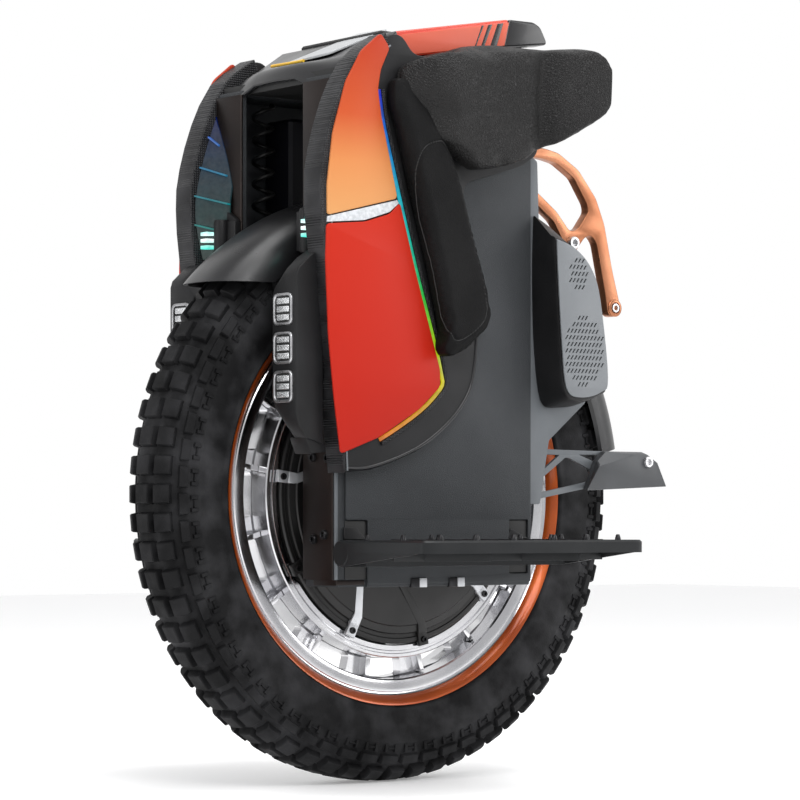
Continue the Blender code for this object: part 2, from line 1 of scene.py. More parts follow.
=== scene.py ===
"""Looks for the electric unicycle: fine shapes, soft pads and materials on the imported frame.

Metres, in the CAD's frame: +X forward, +Y to the rider's left, +Z up. Left-hand pieces are made at
+Y and mirrored. Outlines are drawn with the axle at X = 0 and shifted by AXLE_X when they are placed.
"""
import math

import bmesh
import bpy
from mathutils import Matrix, Vector
from mathutils.bvhtree import BVHTree


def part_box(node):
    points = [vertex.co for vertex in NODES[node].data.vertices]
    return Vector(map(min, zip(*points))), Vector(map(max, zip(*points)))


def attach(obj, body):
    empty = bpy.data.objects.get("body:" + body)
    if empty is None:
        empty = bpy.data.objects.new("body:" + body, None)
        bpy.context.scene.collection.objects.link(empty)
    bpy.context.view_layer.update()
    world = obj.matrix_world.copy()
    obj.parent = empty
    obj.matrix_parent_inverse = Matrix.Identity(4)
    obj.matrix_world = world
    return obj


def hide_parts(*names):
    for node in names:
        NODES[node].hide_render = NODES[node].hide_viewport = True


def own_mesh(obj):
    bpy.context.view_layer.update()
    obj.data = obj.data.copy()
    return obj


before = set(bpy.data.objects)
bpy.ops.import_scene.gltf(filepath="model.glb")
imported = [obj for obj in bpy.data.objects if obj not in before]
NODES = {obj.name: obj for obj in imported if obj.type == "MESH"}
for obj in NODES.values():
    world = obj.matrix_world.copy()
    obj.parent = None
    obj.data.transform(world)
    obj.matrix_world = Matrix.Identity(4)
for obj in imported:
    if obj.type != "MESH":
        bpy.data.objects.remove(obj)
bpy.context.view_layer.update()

TYRE_LOW, TYRE_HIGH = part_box("tyre")
AXLE_X = (TYRE_LOW.x + TYRE_HIGH.x) / 2
AXLE_Z = (TYRE_LOW.z + TYRE_HIGH.z) / 2
TYRE_R = (TYRE_HIGH.z - TYRE_LOW.z) / 2
RIM_LIP_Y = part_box("rim")[1].y
COVER_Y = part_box("box_cover_left")[1].y
BOX_FRONT_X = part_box("side_box_left")[1].x - AXLE_X
BOX_TOP_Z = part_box("side_box_left")[1].z
PANEL_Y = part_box("side_panel_left")[1].y
SHELL_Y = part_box("side_shell_left")[1].y
PEDAL_PIN_Y = (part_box("pedal_pin_left")[0].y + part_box("pedal_pin_left")[1].y) / 2
PEDAL_PIN_Z = (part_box("pedal_pin_left")[0].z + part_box("pedal_pin_left")[1].z) / 2
PEDAL_LOW, PEDAL_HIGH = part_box("pedal_left")
AXLE_CENTRE = (0.0, AXLE_Z)
TREAD_ROWS = 64
RIM_WINDOWS = 16
COVER_RIBS = 10


# ---------------------------------------------------------------- materials

def start_material(name):
    """Make a Principled material and give its node tree, shader and object coordinates."""
    material = bpy.data.materials.new(name)
    material.use_nodes = True
    tree = material.node_tree
    place = tree.nodes.new("ShaderNodeTexCoord")
    return material, tree, tree.nodes["Principled BSDF"], place.outputs["Object"]


def noise(tree, place, scale, detail=4.0, stretch=(1.0, 1.0, 1.0)):
    mapping = tree.nodes.new("ShaderNodeMapping")
    mapping.inputs["Scale"].default_value = stretch
    node = tree.nodes.new("ShaderNodeTexNoise")
    node.inputs["Scale"].default_value = scale
    node.inputs["Detail"].default_value = detail
    tree.links.new(place, mapping.inputs["Vector"])
    tree.links.new(mapping.outputs["Vector"], node.inputs["Vector"])
    return node.outputs["Fac"]


def spread(tree, value, low, high, start=0.3, end=0.7):
    """Map a texture's middle range to low..high."""
    node = tree.nodes.new("ShaderNodeMapRange")
    node.inputs["From Min"].default_value = start
    node.inputs["From Max"].default_value = end
    node.inputs["To Min"].default_value = low
    node.inputs["To Max"].default_value = high
    tree.links.new(value, node.inputs["Value"])
    return node.outputs["Result"]


def colour_ramp(tree, value, stops):
    ramp = tree.nodes.new("ShaderNodeValToRGB")
    while len(ramp.color_ramp.elements) < len(stops):
        ramp.color_ramp.elements.new(0.5)
    for element, (position, colour) in zip(ramp.color_ramp.elements, stops):
        element.position = position
        element.color = (*colour, 1.0)
    tree.links.new(value, ramp.inputs["Fac"])
    return ramp.outputs["Color"]


def grain_height(tree, place, kind, scale):
    """Height of a surface grain: powder coat, leather cells, weave or brush lines."""
    if kind == "leather":
        node = tree.nodes.new("ShaderNodeTexVoronoi")
        node.feature = "DISTANCE_TO_EDGE"
        node.inputs["Scale"].default_value = scale
        tree.links.new(place, node.inputs["Vector"])
        return spread(tree, node.outputs["Distance"], 0.0, 1.0, 0.0, 0.35)
    if kind == "weave":
        waves = []
        for direction in ("X", "Z"):
            node = tree.nodes.new("ShaderNodeTexWave")
            node.bands_direction = direction
            node.inputs["Scale"].default_value = scale
            tree.links.new(place, node.inputs["Vector"])
            waves.append(node.outputs["Fac"])
        product = tree.nodes.new("ShaderNodeMath")
        product.operation = "MULTIPLY"
        tree.links.new(waves[0], product.inputs[0])
        tree.links.new(waves[1], product.inputs[1])
        return product.outputs["Value"]
    if kind == "brushed":
        return noise(tree, place, scale, 2.0, (1.0, 1.0, 30.0))
    return noise(tree, place, scale, 2.0)


def add_bump(tree, shader, height, depth, strength=0.5):
    bump = tree.nodes.new("ShaderNodeBump")
    bump.inputs["Strength"].default_value = strength
    bump.inputs["Distance"].default_value = depth
    tree.links.new(height, bump.inputs["Height"])
    tree.links.new(bump.outputs["Normal"], shader.inputs["Normal"])


def surface(name, dark, light, rough=(0.4, 0.5), metallic=0.0, patch=14.0, grain="powder",
            grain_scale=1400.0, depth=0.0002, strength=0.4, coat=0.0, specular=0.5):
    """A material whose colour and roughness vary in soft patches, with a fine grain."""
    material, tree, shader, place = start_material(name)
    patches = noise(tree, place, patch, 6.0)
    tree.links.new(colour_ramp(tree, patches, [(0.32, dark), (0.68, light)]), shader.inputs["Base Color"])
    wear = noise(tree, place, patch * 2.3, 6.0)
    tree.links.new(spread(tree, wear, rough[0], rough[1]), shader.inputs["Roughness"])
    shader.inputs["Metallic"].default_value = metallic
    shader.inputs["Specular IOR Level"].default_value = specular
    shader.inputs["Coat Weight"].default_value = coat
    shader.inputs["Coat Roughness"].default_value = 0.08
    add_bump(tree, shader, grain_height(tree, place, grain, grain_scale), depth, strength)
    return material


def height_ramp(tree, place, low, high, stops):
    """Colours set by height above the ground between two Z values."""
    split = tree.nodes.new("ShaderNodeSeparateXYZ")
    tree.links.new(place, split.inputs["Vector"])
    return colour_ramp(tree, spread(tree, split.outputs["Z"], 0.0, 1.0, low, high), stops)


def panel_paint(name, low, high, stops):
    """Satin lacquer that fades with height, with a fine flake."""
    material, tree, shader, place = start_material(name)
    tree.links.new(height_ramp(tree, place, low, high, stops), shader.inputs["Base Color"])
    tree.links.new(spread(tree, noise(tree, place, 30.0), 0.36, 0.46), shader.inputs["Roughness"])
    shader.inputs["Specular IOR Level"].default_value = 0.15
    add_bump(tree, shader, noise(tree, place, 2500.0, 2.0), 0.0001, 0.2)
    return material


def glow(name, low, high, stops, strength):
    """A lit strip whose colour changes with height, in small diffused segments."""
    material, tree, shader, place = start_material(name)
    colour = height_ramp(tree, place, low, high, stops)
    tree.links.new(colour, shader.inputs["Emission Color"])
    speckle = noise(tree, place, 300.0)
    dark = colour_ramp(tree, speckle, [(0.3, (0.004, 0.004, 0.005)), (0.7, (0.02, 0.02, 0.02))])
    tree.links.new(dark, shader.inputs["Base Color"])
    segments = spread(tree, noise(tree, place, 120.0), strength * 0.6, strength)
    tree.links.new(segments, shader.inputs["Emission Strength"])
    shader.inputs["Roughness"].default_value = 0.3
    return material


def rubber(name, dust):
    """Black rubber with pale dust in blotches."""
    material, tree, shader, place = start_material(name)
    blotches = noise(tree, place, 26.0, 10.0)
    dusty = (0.012 + dust, 0.012 + dust, 0.013 + dust * 1.06)
    tree.links.new(colour_ramp(tree, blotches, [(0.42, (0.006, 0.006, 0.0065)), (0.72, dusty)]),
                   shader.inputs["Base Color"])
    tree.links.new(spread(tree, noise(tree, place, 70.0, 8.0), 0.5, 0.8), shader.inputs["Roughness"])
    shader.inputs["Specular IOR Level"].default_value = 0.12
    add_bump(tree, shader, noise(tree, place, 600.0, 8.0), 0.0004, 0.6)
    return material


STRIP_SPAN = (0.29, 0.655)
LINING_SPAN = (0.46, 0.61)
LED_STOPS = [(0.0, (1.0, 0.16, 0.0)), (0.1, (1.0, 0.42, 0.0)), (0.17, (0.9, 0.75, 0.0)),
             (0.27, (0.5, 0.85, 0.0)), (0.38, (0.03, 0.8, 0.06)), (0.48, (0.0, 0.7, 0.4)),
             (0.6, (0.0, 0.65, 0.75)), (0.75, (0.0, 0.25, 0.85)), (0.85, (0.01, 0.03, 0.75))]
INNER_STOPS = [(0.0, (0.0, 0.1, 0.06)), (0.35, (0.0, 0.14, 0.14)), (0.65, (0.0, 0.1, 0.22)),
               (1.0, (0.0, 0.02, 0.45))]
MAT = {
    "tread": rubber("tread_rubber", 0.012),
    "sidewall": rubber("sidewall_rubber", 0.024),
    "chrome": surface("rim_chrome", (0.52, 0.52, 0.54), (0.76, 0.76, 0.77), (0.1, 0.22), 1.0, 9.0,
                      "brushed", 500.0, 0.00005, 0.15),
    "lip": surface("rim_orange", (0.34, 0.052, 0.004), (0.48, 0.088, 0.008), (0.3, 0.42), 0.55, 20.0,
                   coat=0.4),
    "motor": surface("motor_black", (0.006, 0.006, 0.006), (0.016, 0.015, 0.015), (0.32, 0.46), 0.3),
    "steel": surface("bright_steel", (0.45, 0.45, 0.46), (0.66, 0.66, 0.67), (0.22, 0.36), 1.0, 60.0,
                     "brushed"),
    "bolt": surface("black_bolt", (0.015, 0.015, 0.016), (0.04, 0.04, 0.042), (0.28, 0.42), 0.9, 90.0),
    "copper": surface("winding", (0.4, 0.15, 0.05), (0.65, 0.28, 0.1), (0.35, 0.5), 0.9, 200.0),
    "slate": surface("slate_powder_coat", (0.028, 0.031, 0.034), (0.038, 0.041, 0.045), (0.5, 0.62), 0.35,
                     10.0, "powder", 1500.0, 0.0007, 0.8),
    # Slate painted lighter grey: a lit copy of the slate, painted light for the rear side plates, the heel
    # trusses and the cover's front edge strip.
    "grey": surface("grey_plate", (0.105, 0.115, 0.125), (0.135, 0.145, 0.155), (0.45, 0.58), 0.3, 12.0,
                    "powder", 1900.0, 0.0003, 0.4),
    "plastic": surface("grained_black_plastic", (0.007, 0.007, 0.0075), (0.013, 0.013, 0.014), (0.4, 0.54),
                       0.0, 20.0, "powder", 1300.0, 0.0003, 0.5, specular=0.24),
    "gloss": surface("hood_black", (0.007, 0.007, 0.008), (0.013, 0.013, 0.014), (0.26, 0.36), 0.0, 8.0,
                     "powder", 2200.0, 0.0001, 0.2, coat=0.12, specular=0.45),
    "guard": surface("satin_guard", (0.006, 0.006, 0.0065), (0.012, 0.012, 0.013), (0.26, 0.36), 0.0, 12.0,
                     "powder", 1700.0, 0.0002, 0.3, specular=0.5),
    "weave": surface("woven_black", (0.01, 0.01, 0.011), (0.026, 0.026, 0.028), (0.3, 0.45), 0.0, 40.0,
                     "weave", 150.0, 0.0008, 1.0, specular=0.22),
    "bar": surface("brown_black_bar", (0.014, 0.01, 0.009), (0.024, 0.017, 0.015), (0.3, 0.42), 0.7, 18.0,
                   "brushed", 500.0, 0.0001, 0.3),
    "anodised": surface("copper_anodised", (0.32, 0.12, 0.055), (0.48, 0.21, 0.115), (0.26, 0.38), 0.85,
                        18.0, "brushed", 700.0, 0.0001, 0.3),
    "leather": surface("grained_leather", (0.006, 0.0058, 0.0058), (0.011, 0.0105, 0.0105), (0.38, 0.5),
                       0.0, 16.0, "leather", 430.0, 0.0007, 0.6, specular=0.2),
    "pad": surface("fine_grained_pad", (0.004, 0.004, 0.0042), (0.008, 0.0078, 0.008), (0.4, 0.52), 0.0,
                   20.0, "leather", 800.0, 0.0004, 0.5, specular=0.07),
    "thread": surface("seam_thread", (0.006, 0.006, 0.006), (0.014, 0.014, 0.014), (0.6, 0.8), 0.0,
                      200.0),
    # The battery wrap is near-black: painted shade inside the box.
    "wrap": surface("battery_wrap", (0.002, 0.002, 0.004), (0.004, 0.004, 0.007), (0.5, 0.6),
                    specular=0.2),
    # The springs are near-black: painted shade inside the boxes.
    "spring": surface("spring_in_shade", (0.004, 0.004, 0.004), (0.008, 0.008, 0.008), (0.4, 0.5),
                      specular=0.3),
    "rail": surface("rail_red", (0.55, 0.03, 0.01), (0.66, 0.045, 0.014), (0.34, 0.44), 0.0, 10.0,
                    coat=0.25),
    "rail_face": surface("rail_salmon", (0.55, 0.075, 0.034), (0.63, 0.1, 0.045), (0.42, 0.5), 0.0, 10.0),
    "white": surface("pale_divider", (0.42, 0.44, 0.46), (0.62, 0.64, 0.66), (0.35, 0.5), 0.2, 300.0,
                     "weave", 260.0),
    "silver": surface("silver_trim", (0.45, 0.46, 0.48), (0.6, 0.61, 0.63), (0.25, 0.38), 0.6, 20.0),
    "yellow": surface("yellow_trim", (0.75, 0.4, 0.02), (0.85, 0.55, 0.05), (0.3, 0.4), 0.0, 20.0),
    "red_low": panel_paint("red_panel", 0.29, 0.5, [(0.0, (0.37, 0.012, 0.005)),
            (1.0, (0.43, 0.018, 0.006))]),
    "red_high": panel_paint("fading_panel", 0.495, 0.655, [(0.0, (0.56, 0.27, 0.1)),
            (0.3, (0.54, 0.2, 0.065)), (0.55, (0.45, 0.072, 0.02)), (1.0, (0.36, 0.03, 0.01))]),
    "led": glow("light_strip", *STRIP_SPAN, LED_STOPS, 0.75),
    "inner_led": glow("inner_light", *LINING_SPAN, INNER_STOPS, 0.18),
    "rib_led": glow("inner_rib_light", *LINING_SPAN, INNER_STOPS, 1.6),
    # Near-black painted shade, laid as thin sheets in recesses: the pedal ear notches, behind the pod slots,
    # inside the lamp frames and under the hood.
    "shade_fill": surface("painted_shade_black", (0.003, 0.003, 0.003), (0.006, 0.006, 0.006), (0.5, 0.6)),
    "reflector": surface("lamp_reflector", (0.5, 0.51, 0.52), (0.8, 0.81, 0.82), (0.12, 0.25), 0.9, 260.0,
                         "brushed", 900.0, 0.0003, 0.5),
    "chrome_trim": surface("lamp_frame", (0.34, 0.34, 0.35), (0.5, 0.5, 0.51), (0.24, 0.36), 0.9, 60.0),
    "module": glow("connector_light", 0.478, 0.5, [(0.0, (0.0, 0.75, 0.6)), (0.45, (0.9, 1.0, 0.98)),
            (1.0, (0.0, 0.8, 0.7))], 1.6),
    # Pod face grey, lighter than the slate: painted highlight where the real face turns towards the light.
    "pod_highlight": surface("pod_face_highlight", (0.135, 0.145, 0.155), (0.165, 0.175, 0.185), (0.42, 0.52), 0.1,
                        12.0, "powder", 1900.0, 0.0002, 0.3),
    "pale": surface("pale_top", (0.36, 0.37, 0.38), (0.44, 0.45, 0.46), (0.3, 0.42), 0.1, 14.0),
    "wedge": surface("wedge_grey", (0.04, 0.042, 0.045), (0.055, 0.058, 0.062), (0.36, 0.48), 0.2, 18.0,
                     "powder", 1600.0, 0.0003, 0.4),
    "pedal": surface("pedal_black", (0.01, 0.011, 0.012), (0.018, 0.019, 0.02), (0.34, 0.46), 0.35, 16.0,
                     "powder", 1500.0, 0.0002, 0.35, specular=0.3),
    "floor": surface("studio_floor", (0.9, 0.9, 0.9), (0.92, 0.92, 0.92), (0.6, 0.7), 0.0, 3.0,
                     depth=0.0001),
}


# ---------------------------------------------------------------- mesh tools

def shifted(mesh):
    mesh.transform(Matrix.Translation((AXLE_X, 0.0, 0.0)))
    return mesh


def mesh_from(shape):
    """Turn a bmesh into a mesh whose faces point out."""
    bmesh.ops.recalc_face_normals(shape, faces=shape.faces)
    mesh = bpy.data.meshes.new("mesh")
    shape.to_mesh(mesh)
    shape.free()
    return mesh


def put(name, mesh, material, body, replaces=(), smooth=40.0):
    """Place a finished mesh, drawn with the axle at X = 0, as a piece that rides on a body."""
    obj = bpy.data.objects.new(name, shifted(mesh))
    bpy.context.scene.collection.objects.link(obj)
    mesh.name = name
    mesh.shade_smooth()
    mesh.set_sharp_from_angle(angle=math.radians(smooth))
    mesh.materials.clear()
    mesh.materials.append(MAT[material])
    if replaces:
        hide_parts(*replaces)
    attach(obj, body)
    return obj


def mirror_mesh(mesh):
    copy = mesh.copy()
    copy.transform(Matrix.Diagonal((1.0, -1.0, 1.0, 1.0)))
    copy.flip_normals()
    return copy


def put_pair(name, mesh, material, body="chassis", node=None, smooth=40.0):
    """Place a left-hand piece and its mirrored twin, and say which CAD nodes they stand for."""
    right = mirror_mesh(mesh)
    made = []
    for side, shape in (("_left", mesh), ("_right", right)):
        rider = body + side if body == "pedal" else body
        stands_for = (node + side,) if node else ()
        made.append(put(name + side, shape, material, rider, stands_for, smooth))
    return made


def baked(obj):
    """Apply an object's modifiers, remove it and give the mesh in world space."""
    bpy.context.view_layer.update()
    depsgraph = bpy.context.evaluated_depsgraph_get()
    mesh = bpy.data.meshes.new_from_object(obj.evaluated_get(depsgraph))
    mesh.transform(obj.matrix_world)
    bpy.data.objects.remove(obj)
    shape = bmesh.new()
    shape.from_mesh(mesh)
    bmesh.ops.remove_doubles(shape, verts=shape.verts, dist=0.000005)
    return mesh_from(shape)


def work_object(data):
    obj = bpy.data.objects.new("work", data)
    bpy.context.scene.collection.objects.link(obj)
    return obj


def merged(meshes):
    """Gather several separate closed meshes in one."""
    shape = bmesh.new()
    for mesh in meshes:
        shape.from_mesh(mesh)
    return mesh_from(shape)


def carved(mesh, tool_mesh):
    """Cut one mesh out of another."""
    obj = work_object(mesh)
    tool = work_object(tool_mesh)
    cut = obj.modifiers.new("cut", "BOOLEAN")
    cut.operation = "DIFFERENCE"
    cut.object = tool
    result = baked(obj)
    bpy.data.objects.remove(tool)
    return result


def smooth_outline(points, sharp=(), steps=6, closed=True):
    """Catmull-Rom curve through the points, with corners kept at the indices in sharp."""
    outline = []
    count = len(points)
    vectors = [Vector(point) for point in points]
    for index in range(count if closed else count - 1):
        start, end = vectors[index], vectors[(index + 1) % count]
        before = vectors[index - 1] if (closed or index > 0) and index not in sharp else start
        after_index = (index + 2) % count
        last = not closed and index + 2 >= count
        after = end if (index + 1) % count in sharp or last else vectors[after_index]
        for step in range(steps):
            t = step / steps
            a = (end - before) * 0.5
            b = (after - start) * 0.5
            outline.append(start * (2 * t ** 3 - 3 * t ** 2 + 1) + a * (t ** 3 - 2 * t ** 2 + t) + end
                           * (3 * t ** 2 - 2 * t ** 3) + b * (t ** 3 - t ** 2))
    if not closed:
        outline.append(vectors[-1])
    return outline


def rounded(points, radius, steps=5):
    """Round each corner of an outline."""
    outline = []
    for index, corner in enumerate(points):
        corner = Vector(corner)
        before = Vector(points[index - 1]) - corner
        after = Vector(points[(index + 1) % len(points)]) - corner
        start = corner + before.normalized() * min(radius, before.length * 0.45)
        end = corner + after.normalized() * min(radius, after.length * 0.45)
        for step in range(steps + 1):
            t = step / steps
            outline.append(start * (1 - t) ** 2 + corner * 2 * t * (1 - t) + end * t ** 2)
    return outline


TURNS = {"Y": (math.radians(90), 0.0, 0.0), "X": (math.radians(90), 0.0, math.radians(90)),
         "Z": (0.0, 0.0, 0.0)}


def plate(outlines, low, high, edge=0.0008, axis="Y", segments=2):
    """Extrude outlines between two planes with rounded edges; later outlines are holes.

    Across Y an outline is (x, z), across X it is (y, z), and across Z it is (x, y).
    """
    curve = bpy.data.curves.new("outline", "CURVE")
    curve.dimensions = "2D"
    curve.fill_mode = "BOTH"
    curve.bevel_depth = edge
    curve.bevel_resolution = segments
    curve.offset = -edge
    curve.extrude = (high - low) / 2 - edge
    for outline in outlines:
        spline = curve.splines.new("POLY")
        spline.points.add(len(outline) - 1)
        for point, flat in zip(spline.points, outline):
            point.co = (flat[0], flat[1], 0.0, 1.0)
        spline.use_cyclic_u = True
    obj = work_object(curve)
    obj.rotation_euler = TURNS[axis]
    obj.location["XYZ".index(axis)] = (low + high) / 2
    return baked(obj)


def tube(points, radius, closed=False):
    curve = bpy.data.curves.new("tube", "CURVE")
    curve.dimensions = "3D"
    curve.bevel_depth = radius
    curve.bevel_resolution = 3
    curve.use_fill_caps = True
    spline = curve.splines.new("POLY")
    spline.points.add(len(points) - 1)
    for point, place in zip(spline.points, points):
        point.co = (*place, 1.0)
    spline.use_cyclic_u = closed
    return baked(work_object(curve))


def block(low, high, edge=0.0006):
    """A box with rounded edges."""
    return plate([[(low[0], low[2]), (high[0], low[2]), (high[0], high[2]), (low[0], high[2])]], low[1],
                 high[1], edge)


def skin(shape, near, far, closed=True):
    """Join two rows of vertices with quads."""
    count = len(near)
    for index in range(count if closed else count - 1):
        after = (index + 1) % count
        shape.faces.new((near[index], near[after], far[after], far[index]))


def turned(profile, steps=160, centre=(0.0, 0.0), closed=True, axis="Y"):
    """Turn a (radius, along) profile about an axis through centre; closed profiles make rings."""
    shape = bmesh.new()
    rings = []
    for step in range(steps):
        angle = 2 * math.pi * step / steps
        ring = []
        for radius, along in profile:
            a, b = radius * math.cos(angle), radius * math.sin(angle)
            if axis == "Y":
                ring.append(shape.verts.new((centre[0] + a, along, centre[1] + b)))
            elif axis == "X":
                ring.append(shape.verts.new((along, centre[0] + a, centre[1] + b)))
            else:
                ring.append(shape.verts.new((centre[0] + a, centre[1] + b, along)))
        rings.append(ring)
    for step in range(steps):
        skin(shape, rings[step], rings[(step + 1) % steps], closed)
    if not closed:
        shape.faces.new([ring[0] for ring in rings])
        shape.faces.new([ring[-1] for ring in rings])
    return mesh_from(shape)


def loft(rings):
    """Skin a row of rings that have the same number of points, and cap its ends."""
    shape = bmesh.new()
    loops = [[shape.verts.new(point) for point in ring] for ring in rings]
    for near, far in zip(loops, loops[1:]):
        skin(shape, near, far)
    shape.faces.new(loops[0])
    shape.faces.new(loops[-1])
    return mesh_from(shape)


def softened(mesh, width, segments=2, angle=30.0):
    """Round the hard edges of a mesh."""
    obj = work_object(mesh)
    bevel = obj.modifiers.new("edges", "BEVEL")
    bevel.width = width
    bevel.segments = segments
    bevel.limit_method = "ANGLE"
    bevel.angle_limit = math.radians(angle)
    return baked(obj)


def offset(points, distance, closed=True):
    """Move an outline sideways: to the left of its direction for a positive distance."""
    moved = []
    count = len(points)
    for index, point in enumerate(points):
        before = Vector(points[index - 1 if closed or index > 0 else index])
        after = Vector(points[(index + 1) % count if closed or index + 1 < count else index])
        along = (after - before).normalized()
        moved.append(Vector(point) + Vector((-along.y, along.x)) * distance)
    return moved


def at_depth(points, y):
    """Stand an (x, z) line in space at a depth y."""
    return [(point.x, y, point.y) for point in points]


def strip(points, near, far):
    """Outline of a band that runs beside an open line, between two sideways distances."""
    return offset(points, near, closed=False) + offset(points, far, closed=False)[::-1]


def bolt(centre, radius, height, axis="Y"):
    """A socket-head bolt: a domed head with a hexagonal recess, standing out along an axis."""
    rim = radius * 0.9
    socket = radius * 0.5
    index = "XYZ".index(axis)
    base = centre[index]
    profile = [(radius, base), (radius, base + height * 0.7), (rim, base + height),
               (socket * 1.08, base + height), (socket, base + height * 0.9),
               (socket, base + height * 0.3), (0.0001, base + height * 0.25)]
    others = [value for position, value in enumerate(centre) if position != index]
    return turned(profile, 24, others, closed=False, axis=axis)


def on_wheel(radius, degrees):
    angle = math.radians(degrees)
    return (radius * math.cos(angle), AXLE_Z + radius * math.sin(angle))


# ---------------------------------------------------------------- wheel

SECTION_FLAT = 0.012
SECTION_R = 0.0315
SHOULDER = 0.038
TREAD_END = 0.066


def tyre_section(along):
    """Point (radius, y) and outward direction on the tread, at an arc length from the crown."""
    if along <= SECTION_FLAT:
        return (TYRE_R - along ** 2 * 4.0, along), (1.0, along * 8.0)
    angle = (along - SECTION_FLAT) / SECTION_R
    y = SECTION_FLAT + SECTION_R * 0.8 * math.sin(angle)
    return (TYRE_R - 0.00058 - SECTION_R * (1 - math.cos(angle)), y), (math.cos(angle), math.sin(angle))


def groove_depth(along):
    """How far the carcass lies below the blocks: deep between the crown blocks, fading on the sidewall."""
    if along < SHOULDER:
        return 0.0065
    return 0.0065 * max(0.0, (TREAD_END - along) / (TREAD_END - SHOULDER)) ** 0.7


def below(along, drop):
    (radius, y), (out_r, out_y) = tyre_section(along)
    size = math.hypot(out_r, out_y)
    return (radius - drop * out_r / size, y - drop * out_y / size)


def tread_point(degrees, along, drop, side):
    radius, y = below(along, drop)
    x, z = on_wheel(radius, degrees)
    return (x, side * y, z)


def tread_block(shape, middle, length, start, end, side, lean=0.0016, top=0.0):
    """A moulded block on the carcass, with sloping sides and a softened top edge; top is its drop."""
    slices = 4
    root = groove_depth((start + end) / 2) + 0.0015
    layers = ((0.0, root), (lean, top + 0.0008), (lean * 1.5, top))
    rings = []
    for inset, drop in layers:
        reach = length / 2 - math.degrees(inset / TYRE_R)
        ring = []
        spots = [(-1, step / slices) for step in range(slices + 1)]
        spots += [(1, 1 - step / slices) for step in range(slices + 1)]
        for way, share in spots:
            along = start + inset + (end - start - 2 * inset) * share
            ring.append(shape.verts.new(tread_point(middle + way * reach, along, drop, side)))
        rings.append(ring)
    for near, far in zip(rings, rings[1:]):
        skin(shape, near, far)
    count = len(rings[0])
    for ring in (rings[0], rings[-1]):
        for step in range(slices):
            shape.faces.new((ring[step], ring[step + 1], ring[count - 2 - step], ring[count - 1 - step]))


def build_tyre():
    """Carcass with a hollow inside, and rows of crown, side, shoulder and edge blocks."""
    crown = [below(0.0015 * step, groove_depth(0.0015 * step)) for step in range(45)]
    lower = [(0.206, 0.0362), (0.198, 0.0348), (0.194, 0.0336), (0.1925, 0.0342), (0.1908, 0.0336),
             (0.1894, 0.0322), (0.189, 0.0296), (0.1812, 0.0214), (0.1804, 0.012), (0.19, 0.018),
             (0.205, 0.0285), (0.225, 0.03), (0.24, 0.02), (0.245, 0.0)]
    half = crown + lower
    ring = half + [(radius, -y) for radius, y in reversed(half) if y > 0]
    put("tyre_carcass", turned(ring, 240, AXLE_CENTRE), "sidewall", "wheel", ("tyre",), 60.0)
    shape = bmesh.new()
    pitch = 360.0 / TREAD_ROWS
    for index in range(TREAD_ROWS):
        middle = index * pitch
        tread_block(shape, middle, pitch * 0.76, -0.0105, 0.0105, 1)
        for side in (1, -1):
            tread_block(shape, middle, pitch * 0.74, 0.0158, 0.0375, side)
            outer = middle + pitch * 0.62
            tread_block(shape, outer, pitch * 0.84, 0.044, 0.0545, side, 0.001)
            for turn in (-0.24, 0.24):
                tread_block(shape, outer + pitch * turn, pitch * 0.17, 0.0565, 0.0645, side, 0.0004, 0.0002)
            tread_block(shape, outer, pitch * 0.34, 0.0592, 0.0616, side, 0.0004, 0.0004)
    put("tyre_tread", mesh_from(shape), "tread", "wheel", ("tyre",), 25.0)


def build_rim():
    """Polished barrel, a thin web with windows between its spokes, a drum ring and the painted lips."""
    half = [(0.1745, 0.0), (0.1745, 0.0085), (0.1795, 0.012), (0.1802, 0.022), (0.1868, 0.0295),
            (0.1845, 0.029), (0.179, 0.0236), (0.1775, 0.0232), (0.1765, 0.024), (0.17, 0.024),
            (0.1668, 0.0232), (0.1655, 0.0215), (0.1648, 0.0075), (0.1635, 0.0055), (0.1478, 0.0055),
            (0.1465, 0.007), (0.1462, 0.027), (0.1452, 0.028), (0.1428, 0.028), (0.142, 0.0266),
            (0.1402, 0.0266), (0.1394, 0.028), (0.1353, 0.028), (0.1345, 0.0272), (0.1345, 0.0)]
    ring = half + [(radius, -y) for radius, y in reversed(half) if y > 0]
    pitch = 360.0 / RIM_WINDOWS
    cutters = []
    for index in range(RIM_WINDOWS):
        middle = pitch * index
        corners = [on_wheel(0.1475, middle - 0.34 * pitch), on_wheel(0.1636, middle - 0.34 * pitch),
                   on_wheel(0.1645, middle), on_wheel(0.1636, middle + 0.34 * pitch),
                   on_wheel(0.1475, middle + 0.34 * pitch), on_wheel(0.147, middle)]
        cutters.append(plate([rounded(corners, 0.0035)], -0.012, 0.012, 0.0))
    barrel = carved(turned(ring, 192, AXLE_CENTRE), merged(cutters))
    put("rim_barrel", barrel, "chrome", "wheel", ("rim",), 30.0)
    lip = [(0.1885, 0.0303), (0.1887, RIM_LIP_Y), (0.187, RIM_LIP_Y - 0.0004), (0.18, 0.0246),
           (0.1797, 0.024), (0.1808, 0.0242), (0.1868, 0.0302)]
    put_pair("rim_lip", turned(lip, 192, AXLE_CENTRE), "lip", "wheel")
    lugs = []
    for index in range(RIM_WINDOWS):
        edge = pitch * (index + 0.34)
        corners = [on_wheel(0.1466, edge + 0.2), on_wheel(0.164, edge + 0.2), on_wheel(0.164, edge + 1.9),
                   on_wheel(0.1466, edge + 2.4)]
        lugs.append(plate([corners], 0.005, 0.015, 0.0008))
    put_pair("rim_lugs", merged(lugs), "chrome", "wheel")


def rib_outline(degrees, widths):
    """A cover rib: radial at its outer end, then slanting towards the hub."""
    turn = math.radians(degrees)
    left, right = [], []
    for radius, half in widths:
        slant = max(0.0, 0.118 - radius) * math.tan(math.radians(25.0))
        for edge, store in ((half, left), (-half, right)):
            across = slant + edge
            store.append((radius * math.cos(turn) - across * math.sin(turn), AXLE_Z + radius
                          * math.sin(turn) + across * math.cos(turn)))
    return left + right[::-1]


